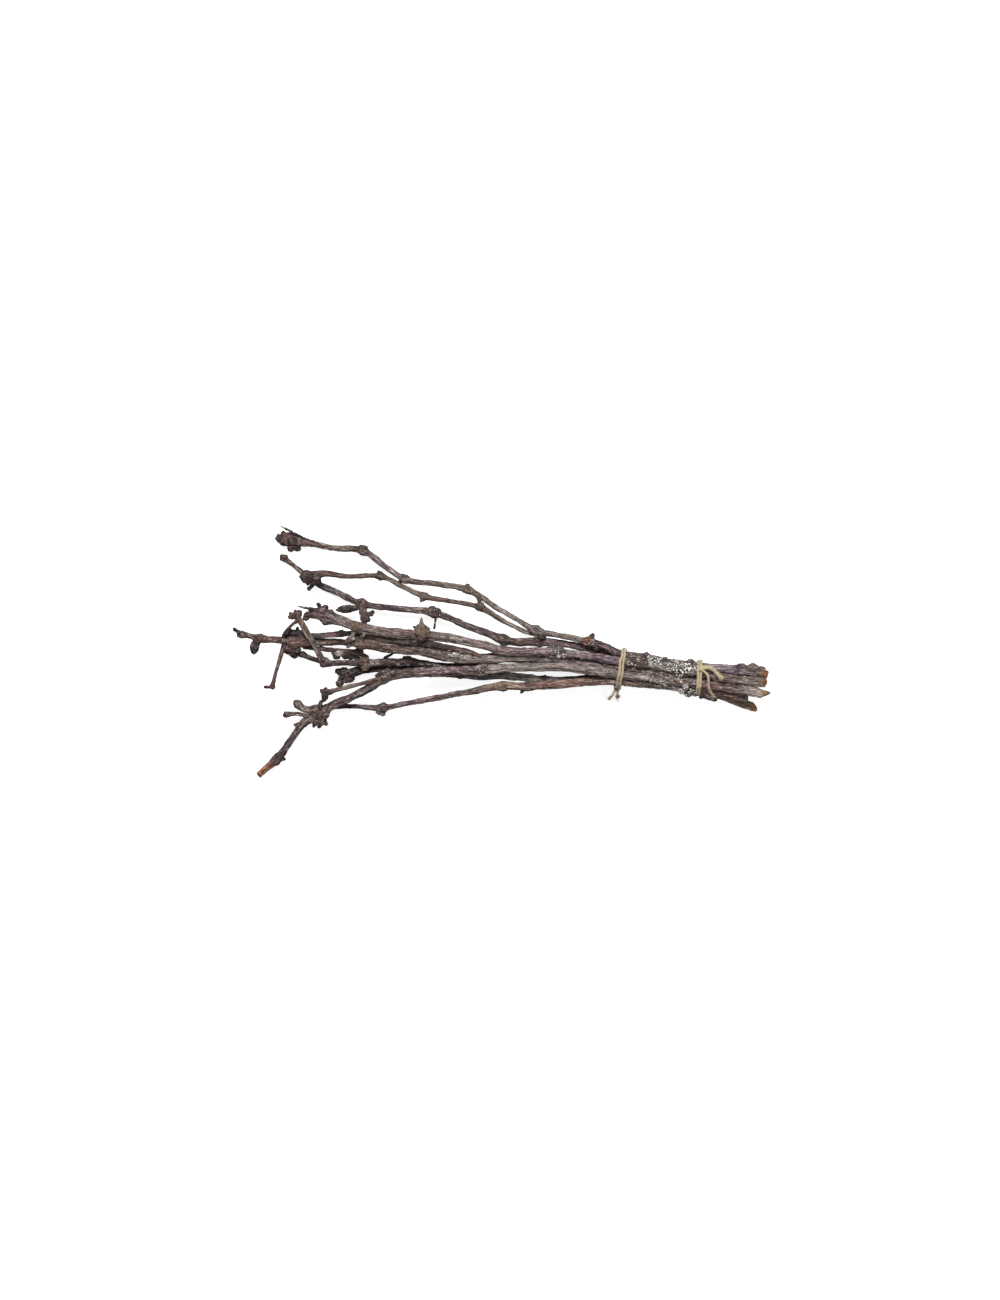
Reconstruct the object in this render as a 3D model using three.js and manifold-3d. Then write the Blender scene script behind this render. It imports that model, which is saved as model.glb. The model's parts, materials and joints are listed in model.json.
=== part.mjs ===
// A bundle of ten knotted fruit-tree twigs, lying on a flat surface.
// The cut ends lie together at +X and the branching tips fan out towards -X. Two turns of jute
// twine, each knotted with two short tails, hold the sticks side by side in two places.
// Millimetres, +Z up; the origin is on the surface, under the middle of the bundle.
import * as THREE from "three";
import { mergeVertices } from "three/addons/utils/BufferGeometryUtils.js";
import Module from "manifold-3d";

const wasm = await Module();
wasm.setup();

// ---- Driving dimensions ----
const STEM_SIDES = 8;
const SPUR_SIDES = 6;
const LONGEST_STEP = 11; // between two rings of a stem
const KNOT_REACH = 2.4; // how far a knot swells the stem on each side
const KNOT_FALL = 2.3; // how quickly the swelling falls away
const SPUR_SHOULDER = 0.75; // where a spur is as thick as it gets, along its length
const SPUR_TIP = 0.6; // a spur's last radius over its shoulder's
const GAP = 0.3; // between the twine and the sticks
const TWINE = { width: 2.4, thickness: 1.3, sides: 8, steps: 36, knot: 1.9, tail: 0.7 };
const KNOT_OPENING = 7; // degrees left out of each loop, inside its knot

// Where the sticks lie in the bundle: rows of three and two by turns. A seat is [row, column],
// with row 0 at the bottom and an odd column in the rows of two.
const BUTT = { x: 131, y: -17.5, z: 2.05, row: 4, column: 3.3 };
const REAR_TIE = { x: 99, y: -14, z: 4, row: 3.5, column: 2.85 };
const FRONT_TIE = { x: 60, y: -8.8, z: 5.6, row: 3.4, column: 3.4 };
const BOTTOM_ROW_SPREAD = 2 * REAR_TIE.column; // furthest seat from the middle of the rear tie

// Each twig: its seat, the cut end's offset from its seat, the radii at the cut end and at the two
// ties, then its route beyond the front tie as [x, y, z, radius, knot], where knot is the extra
// radius at a bud-bearing node. A spur is a short side shoot, from one point to another.
const TWIGS = {
  long_upper_twig: {
    seat: [2, 2],
    end: [0, 0, 0],
    radii: [2.8, 2.1, 1.9],
    route: [
      [52.5, 1.8, 12.4, 1.7],
      [44.5, 4.2, 12, 1.6, 1],
      [30, 6.4, 11.2, 1.4],
      [18, 9.4, 10.4, 1.5, 0.8],
      [0, 20, 9.4, 1.45],
      [-16, 30.4, 8.6, 1.5, 0.7],
      [-32, 33, 7.8, 1.4],
      [-47.5, 35.4, 7.2, 1.45, 0.8],
      [-58, 42.2, 6.6, 1.5],
      [-68.8, 50.4, 6.2, 1.5, 0.9],
      [-84, 51.6, 5.2, 1.5],
      [-95.5, 54, 4.3, 2],
      [-102.5, 53.6, 3.7, 4.2],
      [-107.5, 56, 3.6, 4.1],
      [-112.3, 57.2, 3.8, 2],
    ],
    spurs: [
      { from: [44.6, 4.6, 12.4], to: [46.6, 7.8, 13.4], radii: [1.3, 1.3] },
      { from: [-99, 56, 6.4], to: [-108.6, 61.9, 8.6], radii: [0.7, 0.35] },
    ],
  },
  crossing_twig: {
    seat: [0, 2],
    end: [2, 0.4, 0],
    radii: [2.3, 2, 1.9],
    route: [
      [44, 1, 6.2, 1.8],
      [30, 3.4, 7, 1.6],
      [17, 5.2, 7.6, 1.6, 0.6],
      [1.5, 5.8, 8, 1.6, 0.7],
      [-15, 11.8, 7.8, 1.5],
      [-33.8, 18.6, 7.4, 1.5, 1],
      [-50, 20.2, 6.6, 1.4],
      [-68.6, 23.4, 5.6, 1.45, 0.9],
      [-80, 28.2, 4.4, 1.3],
      [-90, 33.4, 3.2, 1.25],
      [-97, 37.4, 2.7, 1.15],
      [-103.5, 43, 3, 1.2],
      [-108.8, 46.6, 3.6, 1.9],
    ],
    spurs: [
      { from: [1.8, 5.2, 8.4], to: [0.4, 1.6, 9.6], radii: [1.4, 1.1] },
      { from: [-68.8, 23, 6.4], to: [-66.6, 14.6, 11], radii: [1.9, 1.9] },
      { from: [-70, 21, 7.4], to: [-80, 20.2, 8.4], radii: [0.9, 1.5] },
    ],
  },
  star_bud_twig: {
    seat: [3, 1],
    end: [0.5, -1.3, 0],
    radii: [2.5, 2, 2],
    route: [
      [49, -3.8, 16.8, 1.8],
      [35, -1.8, 17.2, 1.7],
      [26, -0.5, 17.5, 1.7, 1.1],
      [12, 0, 17.8, 1.7],
      [-10, 2, 18.6, 2],
      [-25, 5.8, 19.6, 2.1],
      [-38.5, 7.4, 20.4, 2.1, 0.4],
      [-55, 8.4, 21.4, 2.2],
      [-70.5, 11.2, 22.4, 2.4, 0.5],
      [-80, 14.8, 23, 2.6],
      [-87.2, 17.6, 23.4, 3.5],
      [-92.5, 17.4, 23.6, 2],
      [-96.6, 16.4, 23.6, 1.9],
    ],
    spurs: [
      { from: [-88, 19, 23.8], to: [-100.4, 22, 25], radii: [1.3, 0.4] },
      { from: [-39.2, 8.6, 21.8], to: [-39.6, 14.4, 25.2], radii: [2, 3.1] },
      { from: [-85.6, 20, 24.4], to: [-89.6, 22.8, 25.4], radii: [1, 0.8] },
    ],
  },
  pale_spotted_twig: {
    seat: [2, 0],
    end: [-5, 0, 0],
    radii: [2.1, 1.9, 2],
    route: [
      [46, -7.6, 13.2, 2.2],
      [30, -5, 13.5, 2.3],
      [18.5, -3.8, 13.8, 2.3, 0.3],
      [0, -4.5, 14, 2.3],
      [-14, -4.4, 14.4, 2.5],
      [-25, -3.2, 15, 2.8],
      [-38, -0.4, 15.8, 2.8],
      [-53, 0.8, 16.8, 2.6],
      [-62.5, 2.6, 17.4, 2.5],
      [-69, 3.8, 17.8, 2.6, 0.8],
      [-74.4, 4.8, 17.8, 2],
    ],
    spurs: [],
  },
  lower_branch: {
    seat: [3, -1],
    end: [2.5, -1.2, 0],
    radii: [2.3, 2, 2],
    route: [
      [46, -10.4, 16.9, 2.1],
      [30, -8.5, 17, 2.1],
      [18, -8.5, 16.8, 2.1],
      [2, -8.9, 16, 2.1],
      [-9, -9.9, 15.4, 2.2, 0.6],
      [-30, -10.8, 14.6, 2.3],
      [-47, -11.8, 13.4, 2.3],
      [-57.5, -14.2, 12.4, 2.4, 0.9],
      [-65, -18.8, 10.8, 2.1],
      [-74, -23.5, 9.2, 2],
      [-84, -27.4, 7.2, 2.2],
      [-90.8, -32.6, 5.3, 4.6],
      [-97, -36, 4.8, 2.6],
      [-103, -43, 3.8, 1.8],
      [-109, -50.6, 2.8, 1.8],
      [-111.8, -55, 2.3, 2.6],
      [-115.6, -58.4, 2, 1.6],
      [-120, -62.4, 1.5, 1.3],
    ],
    spurs: [
      { from: [-92, -29.6, 7.4], to: [-103.6, -25.6, 9.2], radii: [1.6, 2.1] },
      { from: [-95, -33.4, 6.4], to: [-108.4, -31.6, 7.8], radii: [1.1, 1.5] },
      { from: [-98, -37.4, 4.6], to: [-102.6, -37.2, 4.2], radii: [1.4, 1] },
    ],
  },
  lowest_twig: {
    seat: [2, -2],
    end: [-7, 0, 0],
    radii: [1.9, 2, 2.1],
    route: [
      [46, -15.4, 12, 2.1],
      [30, -17, 11, 2],
      [14, -18, 10.2, 1.9, 0.5],
      [1, -18, 9.4, 1.9, 0.6],
      [-14, -20.4, 8.4, 1.55],
      [-30, -23.6, 7.4, 1.45],
      [-45, -26.4, 6.2, 1.35],
      [-58.5, -28.9, 5.2, 1.35, 1.1],
      [-72, -28.2, 3.6, 1.3],
      [-85, -28.2, 1.9, 1.2],
    ],
    spurs: [{ from: [-58.5, -29, 5.2], to: [-59.2, -32.8, 5], radii: [1.6, 1.3] }],
  },
  slate_twig: {
    seat: [1, -1],
    end: [-11, 0, 0],
    radii: [1.9, 1.8, 1.8],
    route: [
      [46, -13.7, 7.8, 1.75],
      [33, -15.2, 7.2, 1.7],
      [21, -15, 6.9, 1.7, 0.4],
      [7, -13.2, 6.9, 1.7],
      [-10, -13.7, 7, 1.6],
      [-22, -14, 7.6, 1.5, 0.5],
      [-36, -13.2, 8.2, 1.3],
    ],
    spurs: [],
  },
  clustered_twig: {
    seat: [0, -2],
    end: [-3.5, -4.8, 0],
    radii: [2.3, 2, 1.9],
    route: [
      [44, -15.4, 3.9, 1.8],
      [28, -15.2, 3.3, 1.75],
      [8, -13.2, 3.2, 1.7],
      [-12, -10.4, 3.6, 1.7],
      [-30, -9, 4.4, 1.6, 0.6],
      [-54, -9.6, 5.2, 1.6],
      [-66, -9.6, 5.4, 1.7],
      [-72, -10.8, 5.4, 3],
      [-78, -13.6, 5.2, 3.9],
      [-80.4, -17.4, 4.8, 2],
    ],
    spurs: [],
  },
  leftmost_twig: {
    seat: [0, 0],
    end: [-2, 0, 0],
    radii: [2.3, 2.1, 2.1],
    route: [
      [44, -7.4, 5.3, 2],
      [30, -5.4, 5.5, 1.9],
      [0, -4, 7.6, 1.7, 0.5],
      [-30, -2, 9.2, 1.6],
      [-55, 0.8, 11, 1.6, 0.5],
      [-76, 3.6, 12.4, 1.5],
      [-90, 4.4, 13.4, 1.8],
      [-98, 4.2, 13.9, 3],
      [-104.5, 5.2, 14, 2.7],
      [-110, 5.6, 13.8, 1.8],
      [-118.6, 6, 13.6, 1.9, 0.6],
      [-124.5, 6.9, 13.8, 1.5],
      [-129.6, 8.2, 14, 2],
      [-133.4, 10.6, 14.4, 0.8],
    ],
    spurs: [
      { from: [-119, 5.4, 13.4], to: [-122.6, -2, 11.6], radii: [1.3, 2.1] },
      { from: [-101, 6.4, 14.6], to: [-99.6, 11.2, 15.2], radii: [2.4, 1.8] },
    ],
  },
  elbow_twig: {
    seat: [1, 1],
    end: [-9, 0, 0],
    radii: [1.9, 1.8, 1.9],
    route: [
      [46, -5.8, 9.2, 1.85],
      [30, -8, 9.1, 1.8],
      [0, -8.5, 9.6, 1.7],
      [-30, -8, 9.9, 1.7],
      [-45.8, -5.8, 10, 1.7, 0.7],
      [-56, -5.9, 10, 1.7],
      [-67, -6.6, 10, 1.9, 1.7],
      [-77.5, -6, 10.4, 1.5],
      [-87.6, -5.8, 12, 1.6, 0.8],
      [-90.4, 0, 16.2, 1.35],
      [-93, 5.2, 18.9, 1.4],
      [-98.6, 12.4, 20.4, 1.6],
      [-101.6, 16.6, 20.8, 3],
      [-104.6, 18.8, 20.8, 1.6],
    ],
    spurs: [
      { from: [-45.6, -5, 10.6], to: [-43.4, -2.8, 11.4], radii: [1.6, 1.2] },
      { from: [-101, 14.6, 20.4], to: [-107.2, 8.2, 18.2], radii: [1.1, 0.9] },
    ],
  },
};

// Branches that leave a twig at a main fork. Each begins just clear of its twig.
const FORKS = {
  long_upper_fork: {
    route: [
      [14.2, 9, 8.2, 1.4],
      [0, 16, 8.6, 1.4],
      [-10, 21.8, 9.2, 1.35, 0.7],
      [-24, 24.2, 10, 1.25],
      [-37.6, 26.6, 10.4, 1.3, 0.8],
      [-48, 31.4, 10.4, 1.2],
      [-59, 36.8, 10.4, 1.3, 0.9],
      [-76, 37, 9.8, 1.25],
      [-88, 38, 9.4, 1.8],
      [-94.6, 36.8, 9.4, 4],
      [-99, 36.2, 9.6, 2.2],
    ],
    spurs: [{ from: [-93.6, 35.4, 8.6], to: [-94.4, 31.2, 7.4], radii: [1.1, 0.6] }],
  },
  pale_spotted_fork: {
    route: [
      [-15, -1.1, 17, 1.3],
      [-25, 1, 17.6, 1.4],
      [-38, 3.1, 18.9, 1.4, 0.2],
      [-53, 4.9, 18.7, 1.35],
      [-64, 7, 18.8, 1.3],
    ],
    spurs: [],
  },
  dark_tipped_fork: {
    route: [
      [-67.4, 8.9, 17.6, 1.3],
      [-79, 8.3, 17.8, 1.4, 0.3],
      [-90.4, 8.6, 16.6, 1.4],
    ],
    spurs: [],
  },
  lower_branch_fork: {
    route: [
      [-62.2, -13.2, 14.4, 1],
      [-70, -17, 13.4, 1],
      [-81, -20, 12.4, 1.1],
      [-86.2, -21.4, 11.8, 2.5],
      [-87.8, -25.2, 11, 1.8],
    ],
    spurs: [],
  },
  elbow_side_fork: {
    route: [
      [-91.4, -4.8, 10.6, 1.3],
      [-98, -2.6, 9.9, 1.5],
      [-104, -1.2, 9.4, 2.1],
      [-107.4, -0.4, 9.4, 1.2],
    ],
    spurs: [],
  },
  elbow_thin_fork: {
    route: [
      [-70.4, -1.8, 11.6, 0.9],
      [-82, 0.2, 10.2, 1],
      [-91, 1.8, 9.8, 1],
      [-97.4, 2.8, 9.4, 1.1],
    ],
    spurs: [],
  },
  pale_knob_fork: {
    route: [
      [-71.6, -3.8, 8.4, 0.9],
      [-76, -2, 7.9, 1],
      [-80.4, -1.2, 7.4, 1.9],
      [-83, -0.8, 7.2, 1],
    ],
    spurs: [],
  },
  hanging_fork: {
    route: [
      [-107.8, 1.3, 12.8, 1],
      [-109.4, -5, 11.2, 0.9],
      [-111.8, -13, 9.2, 0.9],
      [-113.4, -18.6, 7.6, 1.3],
    ],
    spurs: [{ from: [-113.2, -18.6, 7.6], to: [-117.4, -18.4, 7.4], radii: [0.7, 0.5] }],
  },
};

// The two twine loops. Each leans along X by `lean` mm per mm across the bundle. Its knot sits at
// an angle round the loop, and its tails run from the knot through their own points.
const TIES = {
  front_twine_tie: {
    station: FRONT_TIE,
    lean: 0.28,
    knot: 196,
    tails: [
      [[56.2, -22, 8.6], [55.4, -23.2, 6.6], [54.6, -23.8, 4.4]],
      [[58.6, -21.6, 8], [58.6, -22.4, 6], [58.8, -22.6, 3.8]],
    ],
  },
  rear_twine_tie: {
    station: REAR_TIE,
    lean: 0.1,
    knot: 52,
    tails: [
      [[104.6, -8.8, 20.2], [107.6, -11.6, 20.6], [110.2, -14.6, 19.8]],
      [[102.8, -12.4, 21.4], [103.4, -18, 20.6], [105.6, -22.6, 17.6]],
    ],
  },
};

const MATERIALS = {
  grey_bark: new THREE.MeshStandardMaterial({ color: 0x6a5f5b, roughness: 0.85 }),
  olive_bark: new THREE.MeshStandardMaterial({ color: 0x7a6c60, roughness: 0.8 }),
  twine: new THREE.MeshStandardMaterial({ color: 0xa38f6c, roughness: 0.95 }),
};

// ---- Geometry ----
function seatAt(station, [row, column], [dx, dy, dz] = [0, 0, 0]) {
  const y = station.y + column * station.column;
  const z = station.z + row * station.row;
  return [station.x + dx, y + dy, z + dz];
}

// The full route of a twig, from its cut end to its tip.
function routeOf({ seat, end, radii, route }) {
  const [endRadius, rearRadius, frontRadius] = radii;
  const held = [
    [...seatAt(BUTT, seat, end), endRadius],
    [...seatAt(REAR_TIE, seat), rearRadius],
    [...seatAt(FRONT_TIE, seat), frontRadius],
  ];
  return [...held, ...route];
}

const swelling = (distance) => Math.exp(-KNOT_FALL * (distance / KNOT_REACH) ** 2);

// Where rings stand between two points of a route: beside each knot, and evenly along the rest.
function ringStops(length, fromKnot, toKnot) {
  const roomy = length > 2 * KNOT_REACH;
  const from = fromKnot && roomy ? KNOT_REACH / length : 0;
  const to = toKnot && roomy ? 1 - KNOT_REACH / length : 1;
  const steps = Math.ceil(((to - from) * length) / LONGEST_STEP);
  const stops = from ? [0] : [];
  for (let k = 0; k < steps; k++) {
    stops.push(from + ((to - from) * k) / steps);
  }
  if (to < 1) {
    stops.push(to);
  }
  return stops;
}

// A stem's rings as { centre, tangent, radius }, on a smooth curve through its route.
function ringsOf(route) {
  const points = route.map(([x, y, z]) => new THREE.Vector3(x, y, z));
  const curve = new THREE.CatmullRomCurve3(points);
  const last = route.length - 1;
  const rings = [];
  const addRing = (i, f, length) => {
    const [here, next] = [route[i], route[i + 1]];
    const knots = (here[4] ?? 0) * swelling(f * length) + (next[4] ?? 0) * swelling((1 - f) * length);
    rings.push({
      centre: curve.getPoint((i + f) / last),
      tangent: curve.getTangent((i + f) / last),
      radius: THREE.MathUtils.lerp(here[3], next[3], f) + knots,
    });
  };
  for (let i = 0; i < last; i++) {
    const length = points[i].distanceTo(points[i + 1]);
    ringStops(length, route[i][4], route[i + 1][4]).forEach((f) => addRing(i, f, length));
  }
  addRing(last - 1, 1, points[last - 1].distanceTo(points[last]));
  return rings;
}

// A cylinder bent so that each of its rows of points becomes one ring. One flat side faces down,
// and nothing goes under the surface that the bundle lies on.
function bentStem(rings, sides) {
  const height = rings.length - 1;
  const turn = Math.PI / sides;
  const geometry = new THREE.CylinderGeometry(1, 1, height, sides, height, false, turn);
  const upright = [];
  let up = new THREE.Vector3(0, 0, 1);
  for (const { tangent } of rings) {
    up = up.clone().addScaledVector(tangent, -up.dot(tangent)).normalize();
    upright.push(up);
  }
  const position = geometry.getAttribute("position");
  for (let i = 0; i < position.count; i++) {
    const k = Math.round(height / 2 - position.getY(i));
    const { centre, tangent, radius } = rings[k];
    const side = new THREE.Vector3().crossVectors(upright[k], tangent);
    const point = centre.clone().addScaledVector(side, radius * position.getX(i));
    point.addScaledVector(upright[k], radius * position.getZ(i));
    position.setXYZ(i, point.x, point.y, Math.max(point.z, 0));
  }
  return geometry;
}

function solidOf(geometry) {
  const bare = geometry.clone();
  bare.deleteAttribute("normal");
  bare.deleteAttribute("uv");
  const merged = mergeVertices(bare);
  return new wasm.Manifold(
    new wasm.Mesh({
      numProp: 3,
      vertProperties: merged.getAttribute("position").array,
      triVerts: new Uint32Array(merged.getIndex().array),
    }),
  );
}

function geometryOf(solid) {
  const { vertProperties, triVerts } = solid.getMesh();
  const geometry = new THREE.BufferGeometry();
  geometry.setAttribute("position", new THREE.Float32BufferAttribute(vertProperties, 3));
  geometry.setIndex([...triVerts]);
  return geometry;
}

function spurSolid({ from, to, radii: [root, shoulder] }) {
  const start = new THREE.Vector3(...from);
  const end = new THREE.Vector3(...to);
  const tangent = end.clone().sub(start).normalize();
  const rings = [
    { centre: start, tangent, radius: root },
    { centre: start.clone().lerp(end, SPUR_SHOULDER), tangent, radius: shoulder },
    { centre: end, tangent, radius: shoulder * SPUR_TIP },
  ];
  return solidOf(bentStem(rings, SPUR_SIDES));
}

function woodGeometry(rings, spurs) {
  const stem = solidOf(bentStem(rings, STEM_SIDES));
  return geometryOf(spurs.reduce((solid, spur) => solid.add(spurSolid(spur)), stem));
}

// A stem's centre and radius where it crosses one x inside the bundle.
function crossing(rings, x) {
  const i = rings.findIndex((ring) => ring.centre.x <= x);
  const [a, b] = [rings[i - 1], rings[i]];
  const f = (a.centre.x - x) / (a.centre.x - b.centre.x);
  return {
    centre: a.centre.clone().lerp(b.centre, f),
    radius: THREE.MathUtils.lerp(a.radius, b.radius, f),
  };
}

// A point of the twine's loop: at each angle it lies on the stick that stands out furthest.
function loopPoint({ station, lean }, angle, held) {
  const x = station.x + lean * BOTTOM_ROW_SPREAD * Math.cos(angle);
  const out = new THREE.Vector3(0, Math.cos(angle), Math.sin(angle));
  const reach = ({ centre, radius }) => centre.dot(out) + radius;
  const sticks = held.map((rings) => crossing(rings, x));
  const furthest = sticks.reduce((best, stick) => (reach(stick) > reach(best) ? stick : best));
  return furthest.centre.addScaledVector(out, furthest.radius + GAP + TWINE.thickness / 2);
}

function twineSolid(curve, steps, width, thickness) {
  const section = new THREE.Shape();
  section.absellipse(0, 0, width / 2, thickness / 2, 0, 2 * Math.PI);
  const options = { extrudePath: curve, steps, curveSegments: TWINE.sides / 2 };
  return solidOf(new THREE.ExtrudeGeometry(section, options));
}

function tieGeometry(tie, held) {
  const knotAngle = THREE.MathUtils.degToRad(tie.knot);
  const opening = THREE.MathUtils.degToRad(KNOT_OPENING);
  const points = [];
  for (let i = 0; i <= TWINE.steps; i++) {
    const angle = knotAngle + opening / 2 + ((2 * Math.PI - opening) * i) / TWINE.steps;
    points.push(loopPoint(tie, angle, held));
  }
  const loop = new THREE.CatmullRomCurve3(points);
  const lump = new THREE.SphereGeometry(TWINE.knot, 8, 6);
  const knot = loopPoint(tie, knotAngle, held);
  knot.add(new THREE.Vector3(0, Math.cos(knotAngle), Math.sin(knotAngle)));
  lump.translate(knot.x, knot.y, knot.z);
  let solid = twineSolid(loop, TWINE.steps, TWINE.width, TWINE.thickness).add(solidOf(lump));
  for (const tail of tie.tails) {
    const curve = new THREE.CatmullRomCurve3([knot, ...tail.map((p) => new THREE.Vector3(...p))]);
    solid = solid.add(twineSolid(curve, 5, 2 * TWINE.tail, 2 * TWINE.tail));
  }
  return geometryOf(solid);
}

// ---- The bundle ----
const bundle = new THREE.Group();

function addPiece(name, geometry, material) {
  const mesh = new THREE.Mesh(geometry, material);
  mesh.name = name;
  bundle.add(mesh);
}

const held = [];
for (const [name, twig] of Object.entries(TWIGS)) {
  const rings = ringsOf(routeOf(twig));
  addPiece(name, woodGeometry(rings, twig.spurs), MATERIALS.grey_bark);
  held.push(rings);
}
for (const [name, fork] of Object.entries(FORKS)) {
  addPiece(name, woodGeometry(ringsOf(fork.route), fork.spurs), MATERIALS.olive_bark);
}
for (const [name, tie] of Object.entries(TIES)) {
  addPiece(name, tieGeometry(tie, held), MATERIALS.twine);
}

export default bundle;
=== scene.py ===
"""A bundle of ten knotted fruit-tree twigs, tied in two places with jute twine.

Each stick is grown as a solid: rods of varying thickness that melt into one another are carved
out of a fine grid, and the bark's ridges, scars and crust are then raised on its skin. The twine
is laid up from twisted plies, with loose fibres. Tables are in millimetres; the meshes are in
metres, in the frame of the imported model.
"""
import itertools
import json
import math
from collections import namedtuple

import bpy
import numpy as np
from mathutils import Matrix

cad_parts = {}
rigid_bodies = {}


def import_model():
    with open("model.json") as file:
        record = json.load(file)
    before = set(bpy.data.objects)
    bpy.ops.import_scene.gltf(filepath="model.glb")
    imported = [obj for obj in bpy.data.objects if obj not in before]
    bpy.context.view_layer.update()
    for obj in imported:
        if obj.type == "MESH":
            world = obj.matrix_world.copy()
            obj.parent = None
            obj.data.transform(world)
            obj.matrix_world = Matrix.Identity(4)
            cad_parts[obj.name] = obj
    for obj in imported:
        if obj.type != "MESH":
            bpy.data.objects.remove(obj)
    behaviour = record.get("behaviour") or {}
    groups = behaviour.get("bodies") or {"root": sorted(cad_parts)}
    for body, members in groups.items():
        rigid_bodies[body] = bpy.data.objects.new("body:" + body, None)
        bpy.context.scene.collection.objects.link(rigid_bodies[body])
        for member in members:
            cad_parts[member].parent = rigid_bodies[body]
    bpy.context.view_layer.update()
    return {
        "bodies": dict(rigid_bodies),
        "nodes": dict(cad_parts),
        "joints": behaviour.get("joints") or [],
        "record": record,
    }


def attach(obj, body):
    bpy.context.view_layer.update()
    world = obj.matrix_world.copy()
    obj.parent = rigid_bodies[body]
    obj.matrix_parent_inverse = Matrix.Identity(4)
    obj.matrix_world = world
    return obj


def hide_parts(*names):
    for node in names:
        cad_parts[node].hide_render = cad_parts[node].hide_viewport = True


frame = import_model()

import openvdb
from mathutils import Vector

MM = 0.001


# ---- Colours ----


def tint(red, green, blue):
    """A colour named by its screen values, as the linear numbers that shaders use."""
    screen = np.array([red, green, blue]) / 255
    return np.where(screen > 0.04045, ((screen + 0.055) / 1.055) ** 2.4, screen / 12.92)


# Bark, from place to place along the sticks.
ASH = tint(150, 140, 136)
GREY = tint(128, 115, 109)
OLIVE = tint(126, 111, 98)
DRAB = tint(108, 92, 83)
UMBER = tint(99, 78, 70)
MAUVE = tint(134, 117, 121)
PLUM = tint(106, 85, 88)
RUSSET = tint(126, 94, 80)
RUST = tint(158, 102, 68)
MAROON = tint(102, 72, 69)
SLATE = tint(84, 84, 94)
SOOT = tint(60, 50, 46)
DUSK = tint(52, 37, 42)
COAL = tint(44, 37, 35)
FIG = tint(88, 71, 75)
HUSK = tint(164, 136, 114)
LILAC = tint(136, 117, 130)
TAN = tint(140, 116, 96)
CHALK = tint(205, 198, 188)

# What lies on the bark, bare wood and jute.
# A silvery coat on the bark, partly a painted highlight on the crests.
SILVER_AND_HIGHLIGHT = tint(184, 174, 168)
# Dark bark in the cracks, deepened with painted shade.
CRACK_AND_SHADE = tint(36, 29, 27)
GRIME = tint(40, 32, 30)
LICHEN_EDGE = tint(196, 192, 184)
LICHEN = tint(255, 253, 248)
END_WOOD = tint(206, 160, 116)
# The dark jute tone is partly painted shade, the pale one partly a painted highlight.
JUTE_DARK_FIBRE_AND_SHADE = tint(122, 100, 70)
JUTE_PALE_FIBRE_AND_HIGHLIGHT = tint(226, 210, 178)
JUTE_DUST = tint(134, 120, 80)

# ---- Where the sticks lie in the ties ----
# A seat is (row, column): row 0 is at the bottom, and a row of two has odd columns.
BUTT = {"x": 131, "y": -17.5, "z": 2.05, "row": 4, "column": 3.3}
REAR_TIE = {"x": 99, "y": -14, "z": 4, "row": 3.5, "column": 2.85}
FRONT_TIE = {"x": 60, "y": -8.8, "z": 5.6, "row": 3.4, "column": 3.4}

# ---- Growing ----
GRID = 0.35  # the carving grid's pitch
SKIN = 1.6  # how far round a rod the grid is carved
ROD = 1.5  # length of one rod along a stem
UNEVEN = (0.93, 1.06)  # least and greatest share of its radius that a stem has
KNOT_REACH = 2.6  # how far along its stem a knot swells it
KNOT_FALL = 2.1  # how steeply the swelling falls off
KNOT_STAIN = 7  # how far a knot's dark bark spreads, in square millimetres
KNUCKLES = 3  # humps round each knot
SOFT = 0.7  # how widely a lump melts into its stem
PIT_SOFT = 0.4
THORN_TIP = 0.3
PEG_RING = 0.8  # between the rings of a side shoot

# A side shoot's bend as a share of its length, and the rest as shares of its thickness.
PEG_BEND = 0.06
PEG_WAIST = 0.2
PEG_RIDGE = 0.07
PEG_FOOT = 1.25
PEG_BLUNT = 0.9

CUT_REACH = 6  # how far round its middle a cut goes
CUT_EDGE = 0.25  # width of the edge between a cut and the bark
DARKEST_X, UNDARKENED_X = -60, 10  # where the bark is darkest and reddest, and where the darkening stops
TIPWARD_DARKENING = np.array([0.15, 0.19, 0.18])  # of red, green and blue
GRAIN_APART = 400  # keeps one stick's grain clear of the next one's
SEEDS_EACH = 10  # noise seeds kept for each stick

# Heights of what stands on the bark, and the gap between ring scars.
HUMPS = 0.36
RIDGES = 0.5
FOLDS = 0.3
WARTS = 0.16
RINGS = 0.13
GNARLS = 0.6
SCURF = 0.65
RING_GAP = 1.3

# A bud's shares of its length, with its thickness at each, and where its rows of scales run.
BUD_BODY = [(0, 0.62), (0.2, 0.66), (0.42, 0.96), (0.62, 0.86), (0.82, 0.52), (1, 0.12)]
BUD_SCALES = [(0.3, 0.66), (0.48, 0.84), (0.64, 1.02)]
SCALES_IN_ROW = 4
SCALE_SOFT = 0.15

# The open bud on the star-bud twig: its scales' tips and widths, and the hollows between them.
STAR_HEART = (-39.1, 9.3, 22.6)
STAR_SCALES = [
    ((-38.9, 15.9, 23.8), 1.3), ((-43.4, 11.9, 24.4), 0.9), ((-34.2, 11, 24.2), 0.8),
    ((-40.9, 12.4, 25.2), 1.6), ((-37.1, 12.3, 25.2), 1.6), ((-41.6, 8, 25.8), 1.6),
    ((-36.7, 8, 25.8), 1.6), ((-39, 10.8, 26.6), 1.3),
]
STAR_HOLLOWS = [(-40.2, 13.4, 25.6, 0.5), (-36.4, 10.6, 25.4, 0.7), (-42, 9.6, 25.2, 0.6)]

BARE = {"spread": [], "lumps": [], "pegs": [], "buds": [], "thorns": [], "pits": []}


def stick(**traits):
    """The table of a stick or branch, with nothing for whatever it has none of."""
    return BARE | traits


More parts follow.
